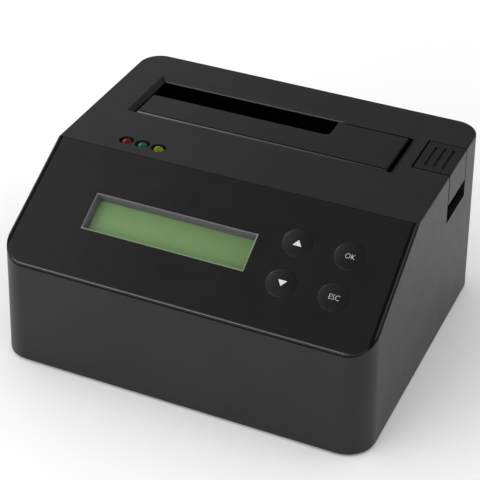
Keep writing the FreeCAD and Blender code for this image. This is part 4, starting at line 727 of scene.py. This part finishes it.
for colour in ("red", "green", "yellow"):
    make_lamp(f"led_{colour}")


# Moulded pieces: the drive slot's rounded edges

# Size of the rounding, the least length of these edges, and where they lie
SLOT_ROUND = 0.75
SLOT_STEPS = 5
SLOT_EDGE_LONG = 20
LEVEL = 0.1
BEVEL_BAND = 3
BEVEL_DEEP = 2.5
RIM_BAND = 7
BAY_FRONT, BAY_BACK = (corner.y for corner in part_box("drive_bay"))


def at_slot(edge):
    """Whether an edge is the front rim of the drive slot or bounds the wide bevel at its back."""
    first, second = (vertex.co for vertex in edge.verts)
    if abs(first.y - second.y) > LEVEL * MM or abs(first.x - second.x) < SLOT_EDGE_LONG * MM:
        return False
    if abs(first.y - BAY_BACK) < BEVEL_BAND * MM:
        return first.z > TOP - BEVEL_DEEP * MM
    return BAY_FRONT < first.y < BAY_FRONT + RIM_BAND * MM and first.z > TOP - LEVEL / 2 * MM


# Moulded pieces: edges that stay sharp

# How near to the crease, or to the middle of a key, an edge stays sharp
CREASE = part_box("control_panel")[1]
CREASE_BAND = 1.2
CREASE_DEEP = 4
KEY_ROOM = 7


def at_crease(spot):
    """Whether an edge lies along the fine line between the top and the panel."""
    return abs(spot.y - CREASE.y) < CREASE_BAND * MM and spot.z > CREASE.z - CREASE_DEEP * MM


def at_crease_or_key(spot):
    return at_crease(spot) or any((spot - centre).length < KEY_ROOM * MM for centre in KEY_CENTRES.values())


# Moulded pieces: the seam between the panel and the casing

# Rounding of the panel's edge in the solid, and here at the sides and at the front
CAD_ROUND = 1.0
SIDE_ROUND = 0.8
FRONT_ROUND = 1.4
ROUND_BAND = 1.6
ROUND_DEEP = 1.4
# Depth of the seam in the solid, and how far it is raised here
SEAM_DEPTH = 2.2
SEAM_LIFT = 1.05
SEAM_BAND = 0.05
# A wall's normal has less than this upwards
STEEP = 0.1


def outer_wall(vertex):
    """The direction that the outer walls face at a vertex, or nothing away from them."""
    faces = [face.normal for face in vertex.link_faces
             if abs(face.normal.z) < STEEP and face.normal.xy.dot(vertex.co.xy) > 0
             and not (abs(face.normal.x) < STEEP and face.normal.y > 0)]
    return sum(faces, Vector()).normalized() if faces else None


def lift(wall):
    """A move up an outer wall."""
    return SEAM_LIFT * MM * (UPRIGHT - wall.z * wall)


def raise_seam(bm):
    """Bring the casing's edge under the panel closer to the panel's face."""
    bm.normal_update()
    moves = []
    for vertex in bm.verts:
        wall = outer_wall(vertex)
        if wall and abs(depth_of(vertex.co) - SEAM_DEPTH * MM) < SEAM_BAND * MM:
            moves.append((vertex, lift(wall)))
    for vertex, move in moves:
        vertex.co += move


def shape_panel(bm):
    """Round the panel's edge, wider at the front, and thin it down to the raised seam."""
    bm.normal_update()
    walls = [(vertex.co.copy(), outer_wall(vertex)) for vertex in bm.verts if outer_wall(vertex)]
    moves = []
    for vertex in bm.verts:
        depth = depth_of(vertex.co)
        spot, wall = min(walls, key=lambda item: (item[0] - vertex.co).length)
        if (spot - vertex.co).length > ROUND_BAND * MM:
            continue
        if depth > ROUND_DEEP * MM:
            moves.append((vertex, lift(wall)))
            continue
        lean = wall.dot(OUT)
        tilt = max(1 - depth / (CAD_ROUND * MM), lean)
        across = (wall - lean * OUT).normalized()
        normal = tilt * OUT + math.sqrt(max(0.0, 1 - tilt * tilt)) * across
        radius = SIDE_ROUND + (FRONT_ROUND - SIDE_ROUND) * max(0.0, -wall.y)
        moves.append((vertex, (radius - CAD_ROUND) * MM * (normal - (OUT + wall) / (1 + lean))))
    for vertex, move in moves:
        vertex.co += move


# Moulded pieces: the window's surround and the eject button

# Depths in the surround's solid, and the slanting wall's reach at the lens
LENS_SEAT = 2.2
FRAME_BACK = 4.0
FRAME_GAP = 0.05
WALL_INSET = 0.3
WALL_REST = 0.84
# How far the button is drawn in, and the height of the part that shows
BUTTON_INSET = 0.3
BUTTON_TALL = 14


def smooth_surround(bm):
    """Turn the stepped inner wall of the window's surround into one slanting wall down to the glass."""
    spots = [(vertex, vertex.co.x, vertex.co.dot(UPHILL), depth_of(vertex.co)) for vertex in bm.verts]
    rim = [(across, along) for vertex, across, along, depth in spots if depth < MM]
    low, high = (Vector([pick(values) for values in zip(*rim)]) for pick in (min, max))
    for vertex, across, along, depth in spots:
        if min(across - low.x, high.x - across, along - low.y, high.y - along) < WALL_INSET * MM:
            continue
        if abs(depth - LENS_SEAT * MM) < 2 * NEAR:
            side = low.x + WALL_REST * MM if across < (low.x + high.x) / 2 else high.x - WALL_REST * MM
            end = low.y + WALL_REST * MM if along < (low.y + high.y) / 2 else high.y - WALL_REST * MM
            vertex.co += (side - across) * ACROSS + (end - along) * UPHILL
        elif abs(depth - FRAME_BACK * MM) < 2 * NEAR:
            vertex.co -= (SURROUND_DEPTH - FRAME_BACK - FRAME_GAP) * MM * OUT


def narrow_button(bm):
    """Draw the eject button in a little at its left and front."""
    left = min(vertex.co.x for vertex in bm.verts)
    front = min(vertex.co.y for vertex in bm.verts if vertex.co.z > TOP - BUTTON_TALL * MM)
    for vertex in bm.verts:
        if vertex.co.x < left + NEAR:
            vertex.co.x += BUTTON_INSET * MM
        if vertex.co.y < front + NEAR:
            vertex.co.y += BUTTON_INSET * MM


# Moulded pieces: all of them, with the size of their rounded edges

# In degrees: how flat faces are that are merged, and how sharp edges are that are rounded
FLAT_ANGLE = 0.4
EDGE_ANGLE = 40
EDGE_STEPS = 2
EDGE_SIZES = {
    "main_casing": 0.2, "control_panel": 0.15, "lcd_frame": 0.1, "slot_flap": 0.15, "drive_bay": 0.15,
    "eject_button": 0.12, "base_plate": 0.2, "rubber_feet": 0.4, "switch_body": 0.25, "power_rocker": 0.2,
    "usb_shell": 0.1, "usb_tongue": 0.15, "dc_jack": 0.2, "dc_pin": 0.2, "sata_connector": 0.2,
    "eject_lever": 0.2, "board_chips": 0.15, "key_switches": 0.15, "lcd_header": 0.2, "board_header": 0.2,
}
STAYS_SHARP = {"main_casing": at_crease, "control_panel": at_crease_or_key}
SHAPED = {"main_casing": raise_seam, "control_panel": shape_panel, "lcd_frame": smooth_surround,
          "eject_button": narrow_button}


def soften(bm, edges, size, steps):
    bmesh.ops.bevel(bm, geom=edges, offset=size * MM, offset_type="OFFSET", segments=steps, profile=0.5,
                    affect="EDGES", clamp_overlap=True)


def dress(node, size):
    """Stand in for a CAD node with a copy of its mesh, shaped a little and with its sharp edges rounded."""
    bm = copy_of(node)
    if node in SHAPED:
        SHAPED[node](bm)
        bmesh.ops.remove_doubles(bm, verts=bm.verts, dist=MERGE)
    bmesh.ops.dissolve_limit(bm, angle_limit=math.radians(FLAT_ANGLE), use_dissolve_boundaries=False,
                             verts=bm.verts, edges=bm.edges)
    if node == "main_casing":
        soften(bm, [edge for edge in bm.edges if at_slot(edge)], SLOT_ROUND, SLOT_STEPS)
    creases = [edge for edge in bm.edges
               if len(edge.link_faces) == 2 and edge.calc_face_angle() > math.radians(EDGE_ANGLE)]
    if node in STAYS_SHARP:
        creases = [edge for edge in creases
                   if not STAYS_SHARP[node]((edge.verts[0].co + edge.verts[1].co) / 2)]
    soften(bm, creases, size, EDGE_STEPS)
    stand_in(finish_mesh(bm, node + "_look", LOOKS[SLOT_OF[node]]), node)


for node, size in EDGE_SIZES.items():
    dress(node, size)


# Springs

# The angle in degrees of creases on a spring's wire, and reach of the coil
SPRING_SHARP = 75.0
COIL_ROOM = 2.0


def make_flap_spring():
    """The flap's spring: its coil stays round the hinge pin, and its leg under the flap turns with that."""
    node = "flap_spring"
    limit = Vector((0, middle_of("flap_pin").y + COIL_ROOM * MM, 0))
    for name, body, is_leg in (("look", BODY_OF[node], False), ("leg", BODY_OF["slot_flap"], True)):
        bm = copy_of(node)
        bmesh.ops.bisect_plane(bm, geom=[*bm.verts, *bm.edges, *bm.faces], plane_co=limit,
                               plane_no=(0, 1, 0), clear_inner=is_leg, clear_outer=not is_leg)
        bmesh.ops.holes_fill(bm, edges=[edge for edge in bm.edges if edge.is_boundary], sides=0)
        bmesh.ops.recalc_face_normals(bm, faces=bm.faces)
        piece = finish_mesh(bm, f"{node}_{name}", LOOKS[SLOT_OF[node]], SPRING_SHARP)
        settle(piece, body, SLOT_OF[node], *([] if is_leg else [node]))


def make_eject_spring():
    """The spring under the eject button, smoothly shaded on a mesh of its own."""
    node = "eject_spring"
    piece = finish_mesh(copy_of(node), node + "_look", LOOKS[SLOT_OF[node]], SPRING_SHARP)
    stand_in(piece, node)
    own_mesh(piece)


make_flap_spring()
make_eject_spring()


# Small pieces that repeat

def new_repeat_group():
    """Nodes that set copies of one object on points, each turned about an axis and twisted at random."""
    group = bpy.data.node_groups.new("repeat_on_spots", "GeometryNodeTree")
    for name, kind in (("Spots", "Geometry"), ("Copy", "Object"), ("Axis", "Vector"), ("Twist", "Float"),
                       ("Seed", "Int"), ("Finish", "Material")):
        group.interface.new_socket(name, in_out="INPUT", socket_type="NodeSocket" + kind)
    group.interface.new_socket("Pieces", in_out="OUTPUT", socket_type="NodeSocketGeometry")
    given = add(group, "NodeGroupInput").outputs
    source = add(group, "GeometryNodeObjectInfo", {"Object": given["Copy"]}).outputs["Geometry"]
    stored = add(group, "GeometryNodeInputNamedAttribute", {"Name": "turn"}, data_type="FLOAT")
    random = add(group, "FunctionNodeRandomValue", {"Seed": given["Seed"]}, data_type="FLOAT")
    greatest = next(socket for socket in random.inputs if socket.identifier == "Max_001")
    drawn = next(socket for socket in random.outputs if socket.identifier == "Value_001")
    group.links.new(given["Twist"], greatest)
    angle = calc(group, "ADD", stored.outputs["Attribute"], drawn)
    turned = add(group, "FunctionNodeAxisAngleToRotation", {"Axis": given["Axis"], "Angle": angle})
    inputs = {"Points": given["Spots"], "Instance": source, "Rotation": turned.outputs["Rotation"]}
    copies = add(group, "GeometryNodeInstanceOnPoints", inputs).outputs["Instances"]
    plain = add(group, "GeometryNodeRealizeInstances", {"Geometry": copies}).outputs["Geometry"]
    coated = add(group, "GeometryNodeSetMaterial", {"Geometry": plain, "Material": given["Finish"]})
    add(group, "NodeGroupOutput", {"Pieces": coated.outputs["Geometry"]})
    return group


REPEAT = new_repeat_group()
SOCKETS = {item.name: item.identifier for item in REPEAT.interface.items_tree if item.in_out == "INPUT"}
SEED = 7


def repeat(name, copy, spots, axis, slot, *nodes, twist=0.0):
    """Set copies of a piece on spots, each a place and a turn, as one plain mesh on the chassis."""
    mesh = bpy.data.meshes.new(name)
    mesh.from_pydata([place for place, turn in spots], [], [])
    turns = mesh.attributes.new("turn", "FLOAT", "POINT")
    turns.data.foreach_set("value", [turn for place, turn in spots])
    piece = new_object(name, mesh)
    modifier = piece.modifiers.new("repeat", "NODES")
    modifier.node_group = REPEAT
    inputs = {"Copy": copy, "Axis": axis, "Twist": twist, "Seed": SEED, "Finish": LOOKS[slot]}
    for socket, value in inputs.items():
        modifier[SOCKETS[socket]] = value
    apply_modifiers(piece)
    bpy.data.objects.remove(copy)
    settle(piece, BODY_OF["main_casing"], slot, *nodes)


def part_middle(part):
    lows = [min(spot[axis] for spot in part) for axis in range(3)]
    highs = [max(spot[axis] for spot in part) for axis in range(3)]
    return Vector([(low + high) / 2 for low, high in zip(lows, highs)])


def loose_parts(node):
    """The points of each separate solid of a node."""
    bm = copy_of(node)
    left = set(bm.verts)
    parts = []
    while left:
        front = [left.pop()]
        found = []
        while front:
            vertex = front.pop()
            found.append(vertex.co.copy())
            near = [edge.other_vert(vertex) for edge in vertex.link_edges]
            fresh = [other for other in near if other in left]
            left.difference_update(fresh)
            front.extend(fresh)
        parts.append(found)
    bm.free()
    return sorted(parts, key=lambda part: tuple(round(value, 6) for value in part_middle(part)))


# Screws: thread and recess, with shares of the shank's and the head's radius and of the head's height

THREAD_PITCH = 0.8
THREAD_START = 0.6
SCREW_TIP = 0.5
SCREW_CORE = 0.82
SCREW_SIDES = 32
HEAD_PROFILE = ((1, 0), (1, 0.4), (0.95, 0.7), (0.84, 0.9), (0.68, 1))
RECESS_ARM = 0.16
RECESS_REACH = 0.55
RECESS_SOLE = 0.6
RECESS_DEEP = 0.6


def cross_screw(axis, head, head_tall, shank, long):
    """A pan-head screw along an axis, with a ringed shank, a cross recess and its head at the origin."""
    bm = bmesh.new()
    pitch = THREAD_PITCH * MM
    profile = [(SCREW_TIP * shank, -long)]
    height = -long + THREAD_START * pitch
    while height < -THREAD_START * pitch:
        profile += [(shank, height), (SCREW_CORE * shank, height + 0.5 * pitch)]
        height += pitch
    profile.append((SCREW_CORE * shank, 0))
    profile += [(radius * head, height * head_tall) for radius, height in HEAD_PROFILE]
    loops = turn_profile(bm, profile, Vector(), axis, SCREW_SIDES)
    bm.faces.new(loops[0])
    arm, reach = RECESS_ARM * head, RECESS_REACH * head
    quarter = [Vector((reach, -arm)), Vector((reach, arm)), Vector((arm, arm))]
    turns = [Matrix.Rotation(step * math.pi / 2, 2) for step in range(4)]
    outline = [turn @ corner for turn in turns for corner in quarter]
    front = axis.cross(ACROSS)
    cross = [spot.x * ACROSS + spot.y * front for spot in outline]
    mouth = [bm.verts.new(spot + head_tall * axis) for spot in cross]
    sole = [bm.verts.new(RECESS_SOLE * spot + (1 - RECESS_DEEP) * head_tall * axis) for spot in cross]
    band(bm, mouth, sole)
    bm.faces.new(sole)
    rim_edges = [edge for edge in bm.edges if len(edge.link_faces) == 1]
    bmesh.ops.triangle_fill(bm, use_beauty=True, use_dissolve=False, edges=rim_edges)
    return finish_new(bm, "screw", LOOKS["steel"])


def make_screws(node, axis):
    """Detailed screws in the places of a group of plain ones."""
    spots = []
    for part in loose_parts(node):
        middle = part_middle(part)
        along = [spot.dot(axis) for spot in part]
        axis_spot = middle + ((min(along) + max(along)) / 2 - middle.dot(axis)) * axis
        found = rings(part, axis_spot, axis)
        head = max(radius for radius, height in found)
        seats = [height for radius, height in found if radius > head - NEAR]
        low = min(height for radius, height in found)
        high = max(height for radius, height in found)
        outward = axis if max(seats) > high - NEAR else -axis
        head_tall = max(seats) - min(seats)
        foot = min(seats) if outward == axis else max(seats)
        shank = min(radius for radius, height in found if radius > 10 * NEAR)
        spots.append((axis_spot + foot * axis, 0.0))
    screw = cross_screw(outward, head, head_tall, shank, high - low - head_tall)
    repeat(node + "_look", screw, spots, axis, "steel", node, twist=math.pi / 2)


for node in ("base_screws", "bay_screws", "board_screws", "led_board_screws"):
    make_screws(node, UPRIGHT)
for node in ("lcd_screws", "key_board_screws", "panel_screws"):
    make_screws(node, OUT)


# Contacts and pins

# Contacts in the drive connector, pins of the chips and contacts in the data socket
CONTACT_PITCH = 1.27
CONTACT_WIDE = 0.7
CONTACT_THICK = 0.3
CONTACT_TALL = 3.6
SLOT_CONTACTS = (7, 15)
PIN_PITCH = 0.8
PIN_COUNT = 10
PIN_WIDE = 0.35
PIN_THICK = 0.15
PIN_REACH = 1.0
PIN_BENDS = (0.3, 0.5)
SOCKET_PITCH = 2.5
SOCKET_WIDE = 1.1
SOCKET_THICK = 0.12
SOCKET_LONG = 6.0
SOCKET_SETBACK = 0.6


def block(name, low, high):
    """A plain tinned block between two corners in millimetres, about its own origin."""
    bm = bmesh.new()
    corners = [[(low[axis], high[axis])[pick >> axis & 1] * MM for axis in range(3)] for pick in range(8)]
    verts = [bm.verts.new(corner) for corner in corners]
    for face in ((0, 1, 3, 2), (4, 5, 7, 6), (0, 1, 5, 4), (2, 3, 7, 6), (0, 2, 6, 4), (1, 3, 7, 5)):
        bm.faces.new([verts[pick] for pick in face])
    return finish_new(bm, name, LOOKS["tin"])


def drive_contacts():
    """Rows of contact springs on the rear walls of the drive connector's two slots."""
    low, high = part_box("sata_connector")
    inner = [spot for spot in points("sata_connector") if low.z + MM < spot.z < high.z - MM]
    edges = sorted({round(spot.x, 6) for spot in inner})
    wall = max(spot.y for spot in inner)
    sole = min(spot.z for spot in inner)
    spots = []
    for count, left, right in zip(SLOT_CONTACTS, edges[::2], edges[1::2]):
        first = (left + right) / 2 - (count - 1) / 2 * CONTACT_PITCH * MM
        spots += [(Vector((first + step * CONTACT_PITCH * MM, wall, sole)), 0.0) for step in range(count)]
    half = CONTACT_WIDE / 2
    spring = block("contact", (-half, -CONTACT_THICK, 0), (half, 0, CONTACT_TALL))
    repeat("drive_contacts", spring, spots, UPRIGHT, "tin")


def chip_pins():
    """Bent pins round the control chips."""
    spots = []
    for part in loose_parts("board_chips"):
        middle = part_middle(part)
        half = max(spot.x for spot in part) - middle.x
        foot = min(spot.z for spot in part)
        for angle in (turn * math.pi / 2 for turn in range(4)):
            for step in range(PIN_COUNT):
                along = (step - (PIN_COUNT - 1) / 2) * PIN_PITCH * MM
                spot = Matrix.Rotation(angle, 3, "Z") @ Vector((half, along, 0))
                spots.append((Vector((middle.x + spot.x, middle.y + spot.y, foot)), angle))
    tall = (max(spot.z for spot in part) - foot) / MM / 2
    bend_high, bend_low = PIN_BENDS
    line = [(0, tall), (bend_high * PIN_REACH, tall), (bend_low * PIN_REACH, 0), (PIN_REACH, 0)]
    bm = bmesh.new()
    loops = [[bm.verts.new((across * MM, end * PIN_WIDE / 2 * MM, (up + thick) * MM))
              for end, thick in ((-1, 0), (1, 0), (1, PIN_THICK), (-1, PIN_THICK))] for across, up in line]
    for first, second in zip(loops, loops[1:]):
        band(bm, first, second)
    bm.faces.new(loops[0])
    bm.faces.new(loops[-1])
    repeat("chip_pins", finish_new(bm, "pin", LOOKS["tin"]), spots, UPRIGHT, "tin")


def socket_contacts():
    """Two contacts over and two under the data socket's tongue."""
    low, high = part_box("usb_tongue")
    middle = (low.x + high.x) / 2
    spots = [(Vector((middle + side * SOCKET_PITCH / 2 * MM, high.y - SOCKET_SETBACK * MM, level)), 0.0)
             for side in (-1, 1) for level in (low.z, high.z)]
    half = SOCKET_WIDE / 2
    strip = block("strip", (-half, -SOCKET_LONG, -SOCKET_THICK), (half, 0, SOCKET_THICK))
    repeat("socket_contacts", strip, spots, UPRIGHT, "tin")


drive_contacts()
chip_pins()
socket_contacts()


# Marks on the power switch

# Depth of the print, size of the marks, and how far behind the rocker they start
MARK_RISE = 0.03
MARK_LONG = 2.6
MARK_WIDE = 0.45
MARK_SIDES = 40
MARK_DROP = 5


def lay_on(node, bm, towards):
    """Drop flat marks onto a node's surface along a direction and lift them by the depth of the print."""
    solid = bmesh.new()
    solid.from_mesh(NODES[node].data)
    tree = BVHTree.FromBMesh(solid)
    for vertex in bm.verts:
        spot, normal = tree.ray_cast(vertex.co, towards)[:2]
        vertex.co = spot + MARK_RISE * MM * normal
    solid.free()


def rocker_marks():
    """A ring on the half of the rocker that is pressed in, and a bar on the other half."""
    low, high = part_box("power_rocker")
    middle = (low + high) / 2
    middle.y = high.y + MARK_DROP * MM
    quarter = (high.z - low.z) / 4 * UPRIGHT
    wide, long = MARK_WIDE * MM, MARK_LONG * MM
    bm = bmesh.new()
    inner, outer = (ring(bm, middle + quarter, radius, ACROSS, UPRIGHT, MARK_SIDES)
                    for radius in (long / 2 - wide, long / 2))
    band(bm, inner, outer)
    bm.faces.new([bm.verts.new(middle - quarter + across * wide / 2 * ACROSS + along * long / 2 * UPRIGHT)
                  for across, along in ((-1, -1), (1, -1), (1, 1), (-1, 1))])
    lay_on("power_rocker", bm, Vector((0, -1, 0)))
    settle(finish_new(bm, "rocker_marks", PRINT), BODY_OF["power_rocker"], "white")


rocker_marks()

for name, node in NODES.items():
    node.data.materials.clear()
    node.data.materials.append(LOOKS[SLOT_OF[name]])


# Stage: floor

FLOOR_REACH = 4.0


def make_floor():
    """A plain pale sheet of paper."""
    corners = [(across * FLOOR_REACH, along * FLOOR_REACH, 0)
               for across, along in ((-1, -1), (1, -1), (1, 1), (-1, 1))]
    mesh = bpy.data.meshes.new("floor")
    mesh.from_pydata(corners, [], [(0, 1, 2, 3)])
    material, tree, shader = new_material("floor_paper")
    fill(tree, shader, {
        "Base Color": ramp(tree, noise(tree, object_space(tree), 3.0), grey(0.93), grey(0.95)),
        "Roughness": 0.9,
        "Specular IOR Level": 0.0,
    })
    mesh.materials.append(material)
    return new_object("floor", mesh)


floor = make_floor()


# Stage: surroundings and lights, in metres

# Strength of the white as light, in mirrors and in view
AMBIENT = 0.9
MIRRORED = 0.25
SEEN = 1.0
CENTRE = Vector((0, 0, 0.035))


def make_surroundings():
    """White all round, dimmer where a surface mirrors it."""
    world = bpy.data.worlds.new("studio")
    bpy.context.scene.world = world
    world.use_nodes = True
    tree = world.node_tree
    tree.nodes.clear()
    ambient, mirrored, seen = (
        add(tree, "ShaderNodeBackground", {"Color": (1, 1, 1, 1), "Strength": strength}).outputs[0]
        for strength in (AMBIENT, MIRRORED, SEEN))
    ray = add(tree, "ShaderNodeLightPath").outputs
    by_gloss = add(tree, "ShaderNodeMixShader", {0: ray["Is Glossy Ray"], 1: ambient, 2: mirrored})
    in_view = calc(tree, "MAXIMUM", ray["Is Camera Ray"], ray["Is Transmission Ray"])
    by_view = add(tree, "ShaderNodeMixShader", {0: in_view, 1: by_gloss.outputs[0], 2: seen})
    add(tree, "ShaderNodeOutputWorld", {"Surface": by_view.outputs[0]})


def soft_box(name, spot, wide, tall, radiance, mirrored_only=False):
    """A rectangular light of a given brightness, aimed at the object."""
    data = bpy.data.lights.new(name, "AREA")
    data.shape = "RECTANGLE"
    data.size = wide
    data.size_y = tall
    data.energy = radiance * math.pi * wide * tall
    item = new_object(name, data)
    item.location = spot
    item.visible_diffuse = not mirrored_only
    item.rotation_mode = "QUATERNION"
    item.rotation_quaternion = (CENTRE - item.location).to_track_quat("-Z", "Y")


make_surroundings()
soft_box("overhead", (-1.0, -0.15, 1.0), 0.9, 0.9, 0.8)
soft_box("front_high", (-0.7, -1.05, 1.0), 1.2, 0.25, 3.8)
soft_box("front_strip", (-0.75, -1.25, 0.5), 1.3, 0.3, 3.4)
soft_box("front_glint", (-0.6, -1.3, 0.55), 1.4, 0.35, 10.0, mirrored_only=True)
soft_box("lamp_glint", (-0.95, 0.42, 1.05), 0.18, 0.18, 50.0, mirrored_only=True)
soft_box("back_left", (-1.1, 1.3, 0.8), 0.9, 0.7, 0.4)
soft_box("right_side", (1.2, 0.5, 0.6), 0.8, 0.8, 0.2)


# Stage: camera, with its place in metres and its lens and sensor in millimetres

CAMERA_PLACE = Vector((0.1976, -0.4583, 0.3722))
CAMERA_RIGHT = Vector((0.9126, 0.4087, 0.0132))
CAMERA_UP = Vector((-0.2388, 0.5065, 0.8285))
LENS = 115.81
SENSOR = 36.0
CLIP = (0.01, 20.0)


def make_camera():
    data = bpy.data.cameras.new("camera")
    data.sensor_width = SENSOR
    data.lens = LENS
    data.clip_start, data.clip_end = CLIP
    camera = new_object("camera", data)
    turn = Matrix((CAMERA_RIGHT, CAMERA_UP, CAMERA_RIGHT.cross(CAMERA_UP))).transposed()
    camera.matrix_world = Matrix.Translation(CAMERA_PLACE) @ turn.to_4x4()
    bpy.context.scene.camera = camera


make_camera()
bpy.context.scene.view_settings.view_transform = "Standard"
